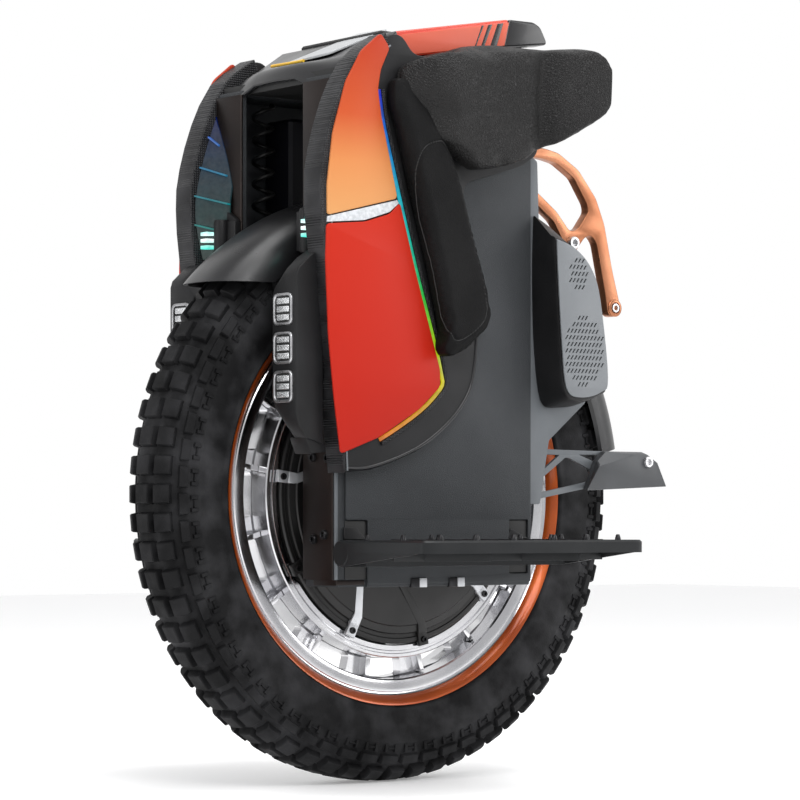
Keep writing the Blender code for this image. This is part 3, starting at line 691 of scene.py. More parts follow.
def build_motor():
    """Covers with ribs, end tabs and bolts on both sides of the hub motor."""
    steps = [(0.1334, 0.0284), (0.1334, 0.0302), (0.1318, 0.0312), (0.129, 0.0312), (0.1282, 0.0304),
             (0.125, 0.0304), (0.124, 0.0322), (0.118, 0.0332), (0.117, 0.0345), (0.1, 0.0365),
             (0.07, 0.0378), (0.069, 0.039), (0.042, 0.0398), (0.04, 0.0408), (0.026, 0.0408),
             (0.0245, 0.04), (0.0245, 0.0284)]
    put_pair("cover_disc", turned(steps, 128, AXLE_CENTRE), "motor", "wheel", "motor_cover", 30.0)
    bright, black, heads = [], [], []
    for index in range(COVER_RIBS):
        degrees = 6.8 - 360.0 / COVER_RIBS * index
        store = black if index % 2 else bright
        arm = plate([rib_outline(degrees, [(0.055, 0.003), (0.1, 0.0042), (0.118, 0.0046),
                (0.1265, 0.005)])], 0.031, 0.0412, 0.0006)
        for vert in arm.vertices:
            if vert.co.y > 0.035:
                vert.co.y -= max(0.0, math.hypot(vert.co.x, vert.co.z - AXLE_Z) - 0.06) * 0.11
        tab = plate([rib_outline(degrees, [(0.124, 0.0052), (0.1378, 0.0052)])], 0.029, 0.0335, 0.0006)
        store.extend((arm, tab))
        x, z = on_wheel(0.1325, degrees)
        heads.append(bolt((x, 0.0333, z), 0.003, 0.002))
    put_pair("bright_ribs", merged(bright), "silver", "wheel")
    put_pair("black_ribs", merged(black), "motor", "wheel")
    put_pair("rib_bolts", merged(heads), "bolt", "wheel")


GUARD_LIP_Z = 0.441


def build_mudguard():
    """An arched guard with a raised middle and rolled edges, swept round the tyre."""
    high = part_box("mudguard")[1]
    crown = high.z - AXLE_Z - 0.004
    outer = []
    for step in range(15):
        share = step / 14
        y = high.y * math.sin(share * math.pi / 2) * 0.995
        outer.append((crown - 0.0365 * (1 - math.cos(share * math.pi / 2)) ** 1.25, y))
    inner = [(radius - 0.003, y * 0.955) for radius, y in reversed(outer)]
    ring = outer + inner
    ring = ring + [(radius, -y) for radius, y in reversed(ring) if y > 0]
    rings = []
    for step in range(73):
        spots = []
        for radius, y in ring:
            front = math.degrees(math.asin((GUARD_LIP_Z - AXLE_Z) / radius))
            spots.append((y, on_wheel(radius, front + (170.0 - front) * step / 72)))
        rings.append([(x, y, z) for y, (x, z) in spots])
    put("guard_shell", loft(rings), "guard", "fork", ("mudguard",), 35.0)


# ---------------------------------------------------------------- boxes and frame

BAR_X = 0.12
LOW_EDGE_Z = 0.184


def build_covers():
    """Cover plates with near-black sheets of painted shade in the pedal ear notches, a lighter front edge
    strip as painted highlight, front bars with their bolts, and small clips.
    """
    outline = [(-0.1, 0.18), (0.0865, 0.18), (0.0865, 0.2355), (0.11, 0.2355), (0.11, BOX_TOP_Z - 0.004),
               (-0.1, BOX_TOP_Z - 0.004)]
    notch = [(-0.0965, 0.188), (-0.0745, 0.188), (-0.0745, 0.236), (-0.0965, 0.236)]
    put_pair("cover", plate([rounded(outline, 0.0025, 3), rounded(notch, 0.0015, 3)], 0.0932, COVER_Y,
                            0.0006), "slate", node="box_cover")
    fold = plate([[(-0.0985, 0.1775), (0.0865, 0.1775), (0.0865, 0.184), (-0.0985, 0.184)]], 0.09, 0.0948)
    put_pair("cover_fold", fold, "slate")
    bar = block((BOX_FRONT_X + 0.0004, 0.046, LOW_EDGE_Z), (BAR_X, 0.089, 0.616), 0.001)
    foot = block((0.0885, 0.06, 0.1795), (BAR_X - 0.001, 0.0935, LOW_EDGE_Z), 0.0008)
    put_pair("front_bar", merged([bar, foot]), "bar")
    # A lighter grey strip on the cover's front edge: painted highlight of the bent edge.
    put_pair("front_edge_highlight", block((0.115, 0.0896, LOW_EDGE_Z), (0.1193, 0.0928, 0.33), 0.0006), "grey")
    spots = [(0.062, 0.29), (0.083, 0.289), (0.063, 0.219), (0.078, 0.223), (0.062, 0.458), (0.083, 0.458)]
    put_pair("bar_bolts", merged([bolt((BAR_X, y, z), 0.0042, 0.003, "X") for y, z in spots]), "bolt")
    # Near-black sheets in the ear notches: painted shade.
    shaded_sheets = [block((0.087, 0.093, 0.1845), (0.11, 0.0936, 0.235)),
             block((-0.096, 0.093, 0.1885), (-0.075, 0.0936, 0.2355))]
    put_pair("notch_shade", merged(shaded_sheets), "shade_fill")
    rear_ear = [(-0.099, 0.2185), (-0.072, 0.2185), (-0.0765, 0.2285)]
    front_ear = [(0.088, 0.2185), (0.112, 0.2185), (0.112, 0.23), (0.099, 0.23)]
    ears = [plate([rounded(ear, 0.002)], 0.0937, 0.0956) for ear in (rear_ear, front_ear)]
    put_pair("ears", merged(ears), "plastic")
    clips, ends = [], []
    for x in (0.03, -0.013):
        clips.append(block((x, 0.0925, 0.1768), (x + 0.009, 0.0966, 0.185)))
        ends.append(block((x - 0.0085, 0.0925, 0.1768), (x - 0.0003, 0.097, 0.185)))
    put_pair("clips", merged(clips), "bolt")
    put_pair("clip_ends", merged(ends), "silver")


def build_brackets():
    """Machined brackets on the front bars, with a pin housing and a screw each."""
    plate_part = block((BAR_X + 0.0002, 0.046, 0.469), (0.127, 0.0835, 0.503), 0.0012)
    arm = plate([[(0.046, 0.503), (0.0835, 0.503), (0.0835, 0.512), (0.06, 0.512)]], BAR_X + 0.0002, 0.125,
                0.001, "X")
    housing = turned([(0.0001, 0.466), (0.0058, 0.4665), (0.0066, 0.469), (0.0066, 0.502),
                      (0.0058, 0.5045), (0.0001, 0.505)], 32, (0.129, 0.064), closed=False, axis="Z")
    put_pair("front_bracket", merged([plate_part, arm, housing]), "plastic")
    put_pair("bracket_bolt", bolt((0.127, 0.0775, 0.489), 0.004, 0.0028, "X"), "bolt")


def lining_section(z):
    """Outer and inner end (x, y) of the lining at a height: it slants back from the shell's front edge."""
    outer_x = 0.144 - abs(z - 0.514) ** 1.5 * 0.95
    inner_x = max(BAR_X + 0.001, outer_x - 0.02)
    return Vector((outer_x, 0.0836)), Vector((inner_x, 0.0836 - (outer_x - inner_x) / 0.8))


def build_linings():
    """Lit slanting linings with ribs inside the front of the shells, and a small bright connector."""
    back = Vector((-0.0014, 0.0))
    rings = []
    for step in range(11):
        z = 0.47 + 0.013 * step
        outer, inner = lining_section(z)
        rings.append([(point.x, point.y, z) for point in (outer, inner, inner + back, outer + back)])
    put_pair("lining", loft(rings), "inner_led")
    ribs = []
    for z in (0.5, 0.526, 0.552, 0.58):
        outer, inner = lining_section(z)
        out = Vector((0.0042, -0.0012))
        corners = [(outer, z), (inner, z - 0.008), (inner + out, z - 0.008), (outer + out * 0.6, z)]
        ribs.append(loft([[(point.x, point.y, height + lift) for point, height in corners]
                          for lift in (0.0, 0.0014)]))
    put_pair("lining_ribs", merged(ribs), "rib_led")
    bars = [block((0.125, 0.07, z), (0.14, 0.0808, z + 0.003), 0.0006) for z in (0.479, 0.485, 0.491)]
    put_pair("connector", merged(bars), "module")


def build_spring_units():
    """Coil springs on the stanchions."""
    for name in ("front_left", "front_right", "rear_left", "rear_right"):
        low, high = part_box("spring_" + name)
        middle = (low + high) / 2
        radius = (high.x - low.x) / 2 - 0.0022
        turns = 7.5
        steps = int(turns * 20)
        points = []
        for step in range(steps + 1):
            angle = 2 * math.pi * turns * step / steps
            z = low.z + 0.0022 + (high.z - low.z - 0.0044) * step / steps
            x = middle.x - AXLE_X + radius * math.cos(angle)
            points.append((x, middle.y + radius * math.sin(angle), z))
        # Near-black coils: painted shade inside the boxes.
        coil = put("coil_" + name, tube(points, 0.002), "spring", "chassis", ("spring_" + name,))
        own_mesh(coil)


def build_rear():
    """Rear side plates, speaker pods with slotted faces, heel brackets with wedge pads, and bumper arms."""
    side = [(-0.1004, 0.566), (-0.11, 0.56), (-0.113, 0.47), (-0.113, 0.365), (-0.17, 0.35),
            (-0.168, 0.343), (-0.124, 0.308), (-0.113, 0.25), (-0.1004, 0.25)]
    # The rear side plates are drawn flat and take the lighter grey: painted light for plates that really
    # turn towards the light.
    put_pair("side_plate", plate([rounded(side, 0.002, 3)], 0.0897, 0.0932, 0.0006), "grey",
             node="rear_plate")
    build_pods()
    build_heels()
    build_arms()


POD_OUTLINE = [(-0.1035, 0.49), (-0.127, 0.482), (-0.147, 0.464), (-0.158, 0.435), (-0.1675, 0.363),
               (-0.1585, 0.349), (-0.133, 0.3435), (-0.1155, 0.352), (-0.1095, 0.397), (-0.105, 0.46)]
POD_INNER = [(-0.1045, 0.51), (-0.13, 0.496), (-0.151, 0.474), (-0.163, 0.44), (-0.1725, 0.361),
             (-0.162, 0.344), (-0.133, 0.3385), (-0.113, 0.344), (-0.105, 0.395), (-0.103, 0.46)]


def slot_rows(centre, half_x, half_z):
    """Slanted slots in staggered rows, kept inside an oval."""
    slots = []
    pitch_x, pitch_z = 0.0043, 0.006
    rows = int(half_z / pitch_z)
    for row in range(-rows, rows + 1):
        z = row * pitch_z
        reach = half_x * math.sqrt(max(0.0, 1 - (z / half_z) ** 2))
        columns = int(reach / pitch_x)
        for column in range(-columns, columns + 1):
            x = column * pitch_x + (pitch_x / 2 if row % 2 else 0.0)
            if abs(x) < reach:
                a, b = centre[0] + x, centre[1] + z
                slots.append([(a - 0.0001, b - 0.0019), (a + 0.0017, b - 0.0019), (a - 0.001, b + 0.0019),
                              (a - 0.0028, b + 0.0019)])
    return slots


def build_pods():
    """Speaker pods: a swelling body, a near-black sheet of painted shade behind the face, and a face painted
    lighter grey as a painted highlight, with slots cut through it.
    """
    outer = smooth_outline(POD_OUTLINE, (0,), 5)
    inner = smooth_outline(POD_INNER, (0,), 5)
    middle = Vector((-0.135, 0.418))
    levels = [(0.0936, inner, 1.0), (0.096, inner, 1.004), (0.1195, outer, 1.012), (0.1225, outer, 1.0),
              (0.124, outer, 0.975)]
    rings = []
    for y, outline, size in levels:
        rings.append(at_depth([middle + (point - middle) * size for point in outline], y))
    put_pair("pod", loft(rings), "plastic", node="speaker_pod", smooth=50.0)
    face = [middle + (point - middle) * 0.965 for point in outer]
    slots = slot_rows((-0.131, 0.4575), 0.0118, 0.0155) + slot_rows((-0.137, 0.388), 0.0235, 0.032)
    cutters = merged([plate([slot], 0.124, 0.128, 0.0) for slot in slots])
    # The face's lighter grey is painted highlight.
    put_pair("pod_face", carved(plate([face], 0.1245, 0.1262, 0.0004), cutters), "pod_highlight",
             node="speaker_grille")
    # A near-black sheet behind the slots: painted shade.
    put_pair("pod_backing_shade", plate([[middle + (point - middle) * 0.94 for point in outer]], 0.1238, 0.1244,
                               0.0001), "shade_fill")


def build_heels():
    """Truss brackets that carry a folded wedge pad, with one screw."""
    outline = [(-0.1004, 0.3005), (-0.2402, 0.2985), (-0.244, 0.29), (-0.174, 0.265), (-0.1126, 0.2545),
               (-0.1004, 0.2535)]
    upper = [(-0.1045, 0.2958), (-0.1045, 0.27), (-0.14, 0.295)]
    lower = [(-0.1045, 0.264), (-0.1045, 0.2585), (-0.173, 0.2705), (-0.186, 0.2785), (-0.152, 0.2925),
             (-0.147, 0.2925)]
    outer = [(-0.164, 0.2956), (-0.2, 0.2956), (-0.2, 0.284)]
    holes = [rounded(hole, 0.0012, 2) for hole in (upper, lower, outer)]
    bracket = plate([rounded(outline, 0.002, 3)] + holes, 0.0857, 0.0893, 0.0005)
    # The heel trusses take the lighter grey: painted light, as on the rear side plates.
    put_pair("truss", bracket, "grey", node="heel_bracket")
    face = [(-0.16, 0.2625), (-0.2605, 0.2668), (-0.249, 0.289), (-0.2363, 0.2963), (-0.2198, 0.2961),
            (-0.1761, 0.2854)]
    back = [(-0.168, 0.264), (-0.26, 0.268), (-0.25, 0.29), (-0.2363, 0.299), (-0.19, 0.299),
            (-0.18, 0.29)]
    levels = ((0.0896, back), (0.096, back), (0.104, face))
    rings = [[(x, y, z) for x, z in section] for y, section in levels]
    put_pair("wedge", softened(loft(rings), 0.0009), "wedge", node="heel_pad", smooth=20.0)
    put_pair("wedge_bolt", bolt((-0.2363, 0.1036, 0.2895), 0.0052, 0.003), "steel")


def build_arms():
    """Machined bumper arms: a loop and a leg round two openings, with bolted bosses."""
    low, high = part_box("bumper_arm_left")
    arm = [(-0.1004, 0.58), (-0.15, 0.5785), (-0.166, 0.5755), (-0.191, 0.5615), (-0.213, 0.5365),
           (-0.2235, 0.513), (-0.2335, 0.471), (-0.243, 0.4395), (-0.2405, 0.4285), (-0.233, 0.4262),
           (-0.2275, 0.43), (-0.2245, 0.448), (-0.2135, 0.495), (-0.207, 0.502), (-0.1985, 0.499),
           (-0.187, 0.485), (-0.18, 0.483), (-0.1745, 0.49), (-0.16, 0.512), (-0.135, 0.529),
           (-0.1004, 0.548)]
    window = [(-0.108, 0.57), (-0.148, 0.569), (-0.164, 0.566), (-0.185, 0.554), (-0.202, 0.53),
              (-0.203, 0.523), (-0.19, 0.506), (-0.18, 0.504), (-0.164, 0.521), (-0.138, 0.539),
              (-0.108, 0.556)]
    shape = plate([rounded(arm, 0.004), rounded(window, 0.004)], low.y, high.y, 0.0012)
    boss = turned([(0.0075, low.y), (0.0082, low.y + 0.001), (0.0082, high.y + 0.0008),
                   (0.0072, high.y + 0.0016), (0.0055, high.y + 0.0016), (0.0052, high.y - 0.002),
                   (0.0001, high.y - 0.002)], 32, (-0.236, 0.435), closed=False)
    put_pair("arm", merged([shape, boss]), "anodised", node="bumper_arm")
    heads = [bolt((-0.236, high.y - 0.002, 0.435), 0.0046, 0.004),
             bolt((-0.182, high.y, 0.493), 0.006, 0.005)]
    put_pair("arm_bolts", merged(heads), "steel")


# ---------------------------------------------------------------- shells, panels and lights

FRONT_EDGE = [(0.077, 0.656), (0.0965, 0.6435), (0.11, 0.632), (0.1225, 0.6125), (0.131, 0.594),
              (0.1385, 0.573), (0.144, 0.553), (0.1475, 0.534), (0.148, 0.516), (0.147, 0.495),
              (0.144, 0.47), (0.1395, 0.42), (0.134, 0.37), (0.128, 0.32), (0.122, 0.276)]
BAND_EDGE = [(0.072, 0.644), (0.088, 0.633), (0.1, 0.623), (0.1125, 0.604), (0.12, 0.588), (0.1275, 0.568),
             (0.133, 0.549), (0.1365, 0.532), (0.137, 0.516), (0.136, 0.496), (0.133, 0.47),
             (0.1285, 0.422), (0.1235, 0.37), (0.121, 0.32), (0.119, 0.278)]
PANEL_REAR = [(0.018, 0.367), (0.0315, 0.409), (0.046, 0.453), (0.061, 0.503), (0.076, 0.555),
              (0.083, 0.582), (0.087, 0.606)]
LOW_EDGE = [(0.123, 0.2915), (0.085, 0.307), (0.041, 0.332), (0.018, 0.352), (0.0165, 0.359),
            (0.018, 0.367)]


def build_shells():
    """Side shells: a woven band round the front edge and a smooth moulded face behind it."""
    band = FRONT_EDGE + BAND_EDGE[::-1]
    put_pair("shell_band", plate([band], 0.0842, SHELL_Y + 0.0016, 0.0016, segments=4), "weave",
             node="side_shell")
    face = [(0.072, 0.656), (0.086, 0.645), (0.1, 0.63), (0.12, 0.594), (0.133, 0.553), (0.137, 0.516),
            (0.133, 0.47), (0.1235, 0.37), (0.1215, 0.2765), (0.091, 0.279), (0.042, 0.295),
            (0.006, 0.319), (-0.018, 0.345), (-0.0255, 0.372), (-0.028, 0.41), (-0.012, 0.47),
            (-0.012, 0.532), (-0.078, 0.552), (-0.098, 0.564), (-0.098, 0.64), (0.045, 0.64),
            (0.058, 0.656)]
    put_pair("shell_face", plate([rounded(face, 0.008)], 0.096, SHELL_Y, 0.0012), "plastic")
    edge = smooth_outline([(0.121, 0.28), (0.091, 0.2815), (0.042, 0.298), (0.006, 0.3215),
                           (-0.016, 0.347), (-0.0235, 0.372), (-0.026, 0.4)], steps=5, closed=False)
    put_pair("shell_bead", tube(at_depth(edge, SHELL_Y - 0.0008), 0.0018), "gloss")
    seam = smooth_outline([Vector(a) * 0.1 + Vector(b) * 0.9 for a, b in zip(FRONT_EDGE, BAND_EDGE)],
                          steps=3, closed=False)
    put_pair("band_seam", tube(at_depth(seam, SHELL_Y + 0.0016), 0.0009), "grey")


def build_panels():
    """Coloured panels in two parts, the pale divider between them, and the light strip round their edge."""
    high = [(0.084, 0.655), (0.105, 0.638), (0.122, 0.61), (0.136, 0.565), (0.142, 0.52), (0.1418, 0.4945),
            (0.0655, 0.5135), (0.076, 0.555), (0.083, 0.582), (0.087, 0.606), (0.084, 0.623),
            (0.074, 0.643)]
    low = [(0.1425, 0.4875), (0.143, 0.456), (0.14, 0.393), (0.134, 0.34), (0.127, 0.292), (0.085, 0.307),
           (0.041, 0.332), (0.018, 0.352), (0.018, 0.367), (0.046, 0.453), (0.063, 0.5105), (0.0735, 0.5),
           (0.101, 0.4915)]
    put_pair("panel_high", plate([rounded(high, 0.004)], SHELL_Y + 0.0004, PANEL_Y, 0.001, segments=3),
             "red_high", node="side_panel", smooth=50.0)
    put_pair("panel_low", plate([rounded(low, 0.004)], SHELL_Y + 0.0004, PANEL_Y, 0.001, segments=3),
             "red_low", smooth=50.0)
    divider = [(0.1415, 0.4935), (0.066, 0.5122), (0.064, 0.5095), (0.0745, 0.5012), (0.1015, 0.4927),
               (0.142, 0.4888)]
    put_pair("divider", plate([divider], SHELL_Y + 0.0004, PANEL_Y - 0.0003, 0.0004), "white")
    rear = smooth_outline(PANEL_REAR, steps=4, closed=False)
    low_line = smooth_outline(LOW_EDGE[:-1], steps=4, closed=False)
    glow_line = low_line[4:] + rear[1:]
    put_pair("light_strip", plate([strip(glow_line, 0.0008, 0.004)], SHELL_Y - 0.001, SHELL_Y + 0.0016,
                                  0.0005), "led")
    put_pair("light_bezel", plate([strip(glow_line, 0.0046, 0.008)], SHELL_Y - 0.001, SHELL_Y + 0.0022,
                                  0.0008), "weave")


def build_lamps():
    """Headlight bodies with sloping ends and three framed lamps each."""
    side = [(0.1345, 0.455), (0.1375, 0.468), (0.149, 0.461), (0.161, 0.45), (0.163, 0.444),
            (0.163, 0.326), (0.16, 0.316), (0.151, 0.305), (0.1345, 0.3)]
    rings = []
    for y, drop in ((0.0602, 0.0165), (0.0615, 0.015), (0.078, 0.0), (0.0954, 0.0)):
        rings.append([(x, y, z - drop if z > 0.38 else z + drop) for x, z in side])
    body = softened(loft(rings), 0.0016, 3)
    stub = block((BOX_FRONT_X + 0.0004, 0.0614, 0.35), (0.1375, 0.0833, 0.41), 0.001)
    arm = block((0.118, 0.03, 0.433), (0.144, 0.064, 0.442), 0.0015)
    chin = softened(plate([[(0.1345, 0.312), (0.152, 0.306), (0.146, 0.292), (0.13, 0.294)]], 0.07, 0.094,
                          0.0), 0.0012)
    put_pair("lamp_body", merged([body, stub, arm, chin]), "plastic", node="headlight", smooth=30.0)
    frames, shaded_sheets, facets = [], [], []
    for z in (0.4155, 0.3825, 0.3495):
        square = [(0.0635, z - 0.0138), (0.0905, z - 0.0138), (0.0905, z + 0.0138), (0.0635, z + 0.0138)]
        hole = [(0.0662, z - 0.0112), (0.0878, z - 0.0112), (0.0878, z + 0.0112), (0.0662, z + 0.0112)]
        frames.append(plate([rounded(square, 0.0062), rounded(hole, 0.0045)], 0.1622, 0.165, 0.0009, "X"))
        # Near-black sheets inside the lamp frames: painted shade behind the facets.
        shaded_sheets.append(plate([rounded(hole, 0.0045)], 0.1625, 0.1632, 0.0001, "X"))
        for step in (-1, 0, 1):
            middle = z + step * 0.007
            low, high = middle - 0.0027, middle + 0.0027
            facet = [(0.0682, low), (0.0858, low), (0.0858, high), (0.0682, high)]
            facets.append(plate([rounded(facet, 0.0014)], 0.163, 0.1644, 0.0006, "X"))
    put_pair("lamp_frames", merged(frames), "chrome_trim")
    put_pair("lamp_interior_shade", merged(shaded_sheets), "shade_fill")
    put_pair("lamp_facets", merged(facets), "reflector")


# ---------------------------------------------------------------- top

def build_hood():
    """The bridge between the shells: a curved front that flares down at both sides, and a pale top plate."""
    sections = [(0.0, 0.1185, 0.6225, 0.0925, 0.64), (0.03, 0.118, 0.6218, 0.09, 0.6405),
                (0.048, 0.1185, 0.615, 0.084, 0.6435), (0.066, 0.1195, 0.605, 0.074, 0.648),
                (0.0838, 0.1205, 0.595, 0.062, 0.653)]
    spread_out = [(-y, *rest) for y, *rest in sections[:0:-1]] + sections
    rings = []
    for y, low_x, low_z, top_x, top_z in spread_out:
        bulge_x, bulge_z = (low_x + top_x) / 2 + 0.006, (low_z + top_z) / 2 + 0.0045
        outer = smooth_outline([(low_x, low_z), (bulge_x, bulge_z), (top_x, top_z), (0.046, 0.664)],
                               steps=6, closed=False)
        inner = offset(outer, 0.0035, closed=False)
        rings.append(at_depth(outer + inner[::-1], y))
    put("hood", softened(loft(rings), 0.0008, angle=50.0), "gloss", "chassis", ("front_arch",), 60.0)
    deck = [(0.089, -0.04), (0.091, -0.012), (0.09, 0.018), (0.086, 0.04), (0.03, 0.052), (0.022, 0.0),
            (0.03, -0.052)]
    top = plate([rounded(deck, 0.004)], 0.0, 0.0024, 0.0006, "Z")
    for vert in top.vertices:
        vert.co.z += 0.6725 - (vert.co.x - 0.022) * 0.44 - max(0.0, -vert.co.y) * 0.1
    put("hood_plate", top, "pale", "chassis")
    # A near-black block under the hood: painted shade that closes the see-through gap.
    put("hood_gap_shade", block((-0.02, -0.082, 0.6165), (0.113, 0.082, 0.6258)), "shade_fill", "chassis")
    line = [(0.0905, -0.04, 0.6432), (0.0925, -0.012, 0.6422), (0.092, 0.01, 0.6422)]
    put("hood_stripe", tube(line, 0.0014), "yellow", "chassis")


def build_rails():
    """Top rails with a salmon face, slanted dark stripes and a dark rear cap."""
    low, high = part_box("top_rail_left")
    face_y = high.y
    front = [(0.034, 0.6425), (0.043, 0.65), (0.0455, 0.658), (0.042, 0.665), (-0.09, 0.689),
             (-0.0835, 0.663)]
    cap = [(-0.0838, 0.663), (-0.0903, 0.689), (-0.12, 0.6895), (-0.128, 0.686), (-0.1355, 0.6735),
           (-0.135, 0.67)]
    put_pair("rail", plate([rounded(front, 0.0035)], low.y, face_y, 0.002, segments=3), "rail",
             node="top_rail", smooth=50.0)
    put_pair("rail_cap", plate([rounded(cap, 0.003)], low.y, face_y, 0.002, segments=3), "gloss",
             smooth=50.0)
    bands = [(-0.0575, -0.0485), (-0.06, -0.05), (-0.065, -0.056), (-0.07, -0.06), (-0.076, -0.067),
             (-0.083, -0.075), (-0.0895, -0.0842)]

    def rail_top(x):
        return 0.6625 + (0.036 - x) * 0.1865

    def rail_bottom(x):
        return 0.645 + (0.03 - x) * 0.172

    def band(start, end):
        return [(start[0], rail_top(start[0])), (end[0], rail_top(end[0])), (end[1], rail_bottom(end[1])),
                (start[1], rail_bottom(start[1]))]

    face = rounded([(0.036, 0.6625), (0.041, 0.656), (0.0385, 0.649), (0.03, 0.645), (-0.0485, 0.6585),
                    (-0.0575, 0.68)], 0.0045)
    pale = [face] + [band(*bands[step:step + 2]) for step in (1, 3, 5)]
    dark = [band(*bands[step:step + 2]) for step in (0, 2, 4)]
    faces = [plate([outline], face_y - 0.0006, face_y + 0.0005, 0.0003) for outline in pale]
    put_pair("rail_face", merged(faces), "rail_face")
    stripes = [plate([outline], face_y - 0.0006, face_y + 0.0004, 0.0002) for outline in dark]
    put_pair("rail_stripes", merged(stripes), "gloss")


# ---------------------------------------------------------------- soft pads

def stuffed(mesh, cap, sculpt, voxel, finest):
    """Inflate a closed shape as padded leather; cap limits how far any point swells."""
    obj = work_object(mesh)
    cells = obj.modifiers.new("cells", "REMESH")
    cells.mode = "VOXEL"
    cells.voxel_size = voxel
    mesh = baked(obj)
    for vert in mesh.vertices:
        vert.co = sculpt(vert.co)
    start = [vert.co.copy() for vert in mesh.vertices]
    obj = work_object(mesh)
    cloth = obj.modifiers.new("fill", "CLOTH")
    cloth.settings.use_pressure = True
    cloth.settings.uniform_pressure_force = 4.0
    cloth.settings.effector_weights.gravity = 0.0
    for frame_number in range(1, 21):
        bpy.context.scene.frame_set(frame_number)
    mesh = baked(obj)
    bpy.context.scene.frame_set(1)
    for vert, place in zip(mesh.vertices, start):
        step = vert.co - place
        if step.length > cap:
            vert.co = place + step.normalized() * cap
    obj = work_object(mesh)
    finer = obj.modifiers.new("finer", "SUBSURF")
    finer.levels = finest
    finer.render_levels = finest
    return baked(obj)


def fade(value, low, high):
    """0 below low, 1 above high, and a smooth step between them."""
    share = min(1.0, max(0.0, (value - low) / (high - low)))
    return share * share * (3 - 2 * share)


def knee_shape(place):
    """The knee pad's front border lies lower than its panel."""
    x, y, z = place
    front = 0.0245 + (z - 0.372) * 0.2393
    share = fade(front - x, -0.002, 0.01)
    if y > SHELL_Y:
        y = SHELL_Y + (y - SHELL_Y) * (0.76 + 0.24 * share) * (1.0 - 0.3 * fade(z, 0.57, 0.615))
    return Vector((x, y, z))


def cushion_shape(place):
    """The thigh cushion swells at the front, dips at a crease and flares out in a rear wing."""
    x, y, z = place
    outer = fade(y, 0.112, 0.13)
    swell = math.exp(-((x - 0.02) ** 2 + (z - 0.62) ** 2) / 0.0012) * 0.008
    front = -0.015 * fade(x, 0.04, 0.075)
    crease = -0.0095 * math.exp(-((x + 0.088) / 0.014) ** 2)
    wing = 0.011 * fade(-x, 0.09, 0.15)
    waist = -0.004 * math.exp(-((x + 0.04) ** 2 + (z - 0.59) ** 2) / 0.0012)
    low_front = -0.008 * fade(x, 0.02, 0.05) * fade(0.612 - z, 0.0, 0.03)
    return Vector((x, y + outer * (swell + front + crease + wing + waist + low_front), z))


def on_surface(mesh, outline, lift):
    """Lay an (x, z) line on a mesh's outer side."""
    shape = bmesh.new()
    shape.from_mesh(mesh)
    tree = BVHTree.FromBMesh(shape)
    shape.free()
    line = []
    for x, z in outline:
        hit = tree.ray_cast(Vector((x, 0.3, z)), Vector((0.0, -1.0, 0.0)))[0]
        if hit:
            line.append((x, hit.y + lift, z))
    return line


def press_groove(mesh, outline, width, depth):
    """Press a sewn channel into a pad's outer side along an (x, z) line."""
    for vert in mesh.vertices:
        if vert.co.y < SHELL_Y + 0.004:
            continue
        flat = Vector((vert.co.x, vert.co.z))
        near = min((flat - point).length for point in outline)
        if near < width:
            vert.co.y -= depth * (1 - near / width)


def build_pads():
    """Thigh cushions and knee pads in grained leather, with the knee pad's inset panel seam."""
    side = [(0.069, 0.63), (0.04, 0.64), (-0.042, 0.651), (-0.145, 0.659), (-0.161, 0.646), (-0.16, 0.606),
            (-0.098, 0.5655), (-0.06, 0.55), (-0.008, 0.538), (0.03, 0.56), (0.062, 0.572), (0.0755, 0.6)]
    main = plate([rounded(side, 0.01)], SHELL_Y + 0.001, 0.131, 0.003)
    roll = plate([[(0.028, 0.643), (-0.04, 0.653), (-0.145, 0.659), (-0.15, 0.6425), (0.028, 0.6425)]],
                 0.0795, SHELL_Y + 0.01, 0.001)
    cushion = stuffed(merged([main, roll]), 0.005, cushion_shape, 0.0045, 1)
    for pad in put_pair("cushion", cushion, "leather", node="thigh_cushion", smooth=180.0):
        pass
    knee = [(0.076, 0.618), (0.0775, 0.596), (0.068, 0.557), (0.0385, 0.455), (0.0255, 0.405),
            (0.0225, 0.38), (0.016, 0.3745), (-0.003, 0.3835), (-0.0265, 0.403), (-0.031, 0.415),
            (-0.0265, 0.439), (0.002, 0.528), (0.013, 0.554), (0.026, 0.574), (0.04, 0.596),
            (0.056, 0.618)]
    seam = smooth_outline([(0.033, 0.564), (0.048, 0.559), (0.056, 0.547), (0.0545, 0.526), (0.045, 0.49),
                           (0.035, 0.456), (0.0262, 0.422), (0.0195, 0.398), (0.0135, 0.392),
                           (0.001, 0.3965), (-0.0145, 0.4075), (-0.02, 0.418), (-0.0185, 0.434),
                           (-0.0085, 0.476), (0.003, 0.516), (0.0175, 0.551), (0.026, 0.561)], steps=6)
    pad_mesh = stuffed(plate([rounded(knee, 0.006)], SHELL_Y + 0.001, 0.127, 0.0025), 0.0035, knee_shape,
                       0.0036, 2)
    press_groove(pad_mesh, seam, 0.0026, 0.0016)
    line = on_surface(pad_mesh, [(point.x, point.y) for point in seam], -0.0002)
    for pad in put_pair("knee", pad_mesh, "pad", node="knee_pad", smooth=180.0):
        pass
    put_pair("knee_seam", tube(line, 0.0006, closed=True), "thread")


# ---------------------------------------------------------------- pedals

def pedal_outline(inset):
    """The pedal's plan, drawn (x, y), drawn in by a distance."""
    front, rear = PEDAL_HIGH.x - AXLE_X, PEDAL_LOW.x - AXLE_X
    near, far = PEDAL_PIN_Y + 0.0165, PEDAL_HIGH.y
    outline = [Vector((front, PEDAL_PIN_Y))]
    outline += rounded([(front, near), (front, far - 0.003), (front - 0.012, far), (rear + 0.006, far),
                        (rear, far - 0.006), (rear + 0.012, near)], 0.008, 4)[6:]
    outline += [Vector((0.1115, near)), Vector((0.1115, PEDAL_PIN_Y))]
    return offset(outline, inset)


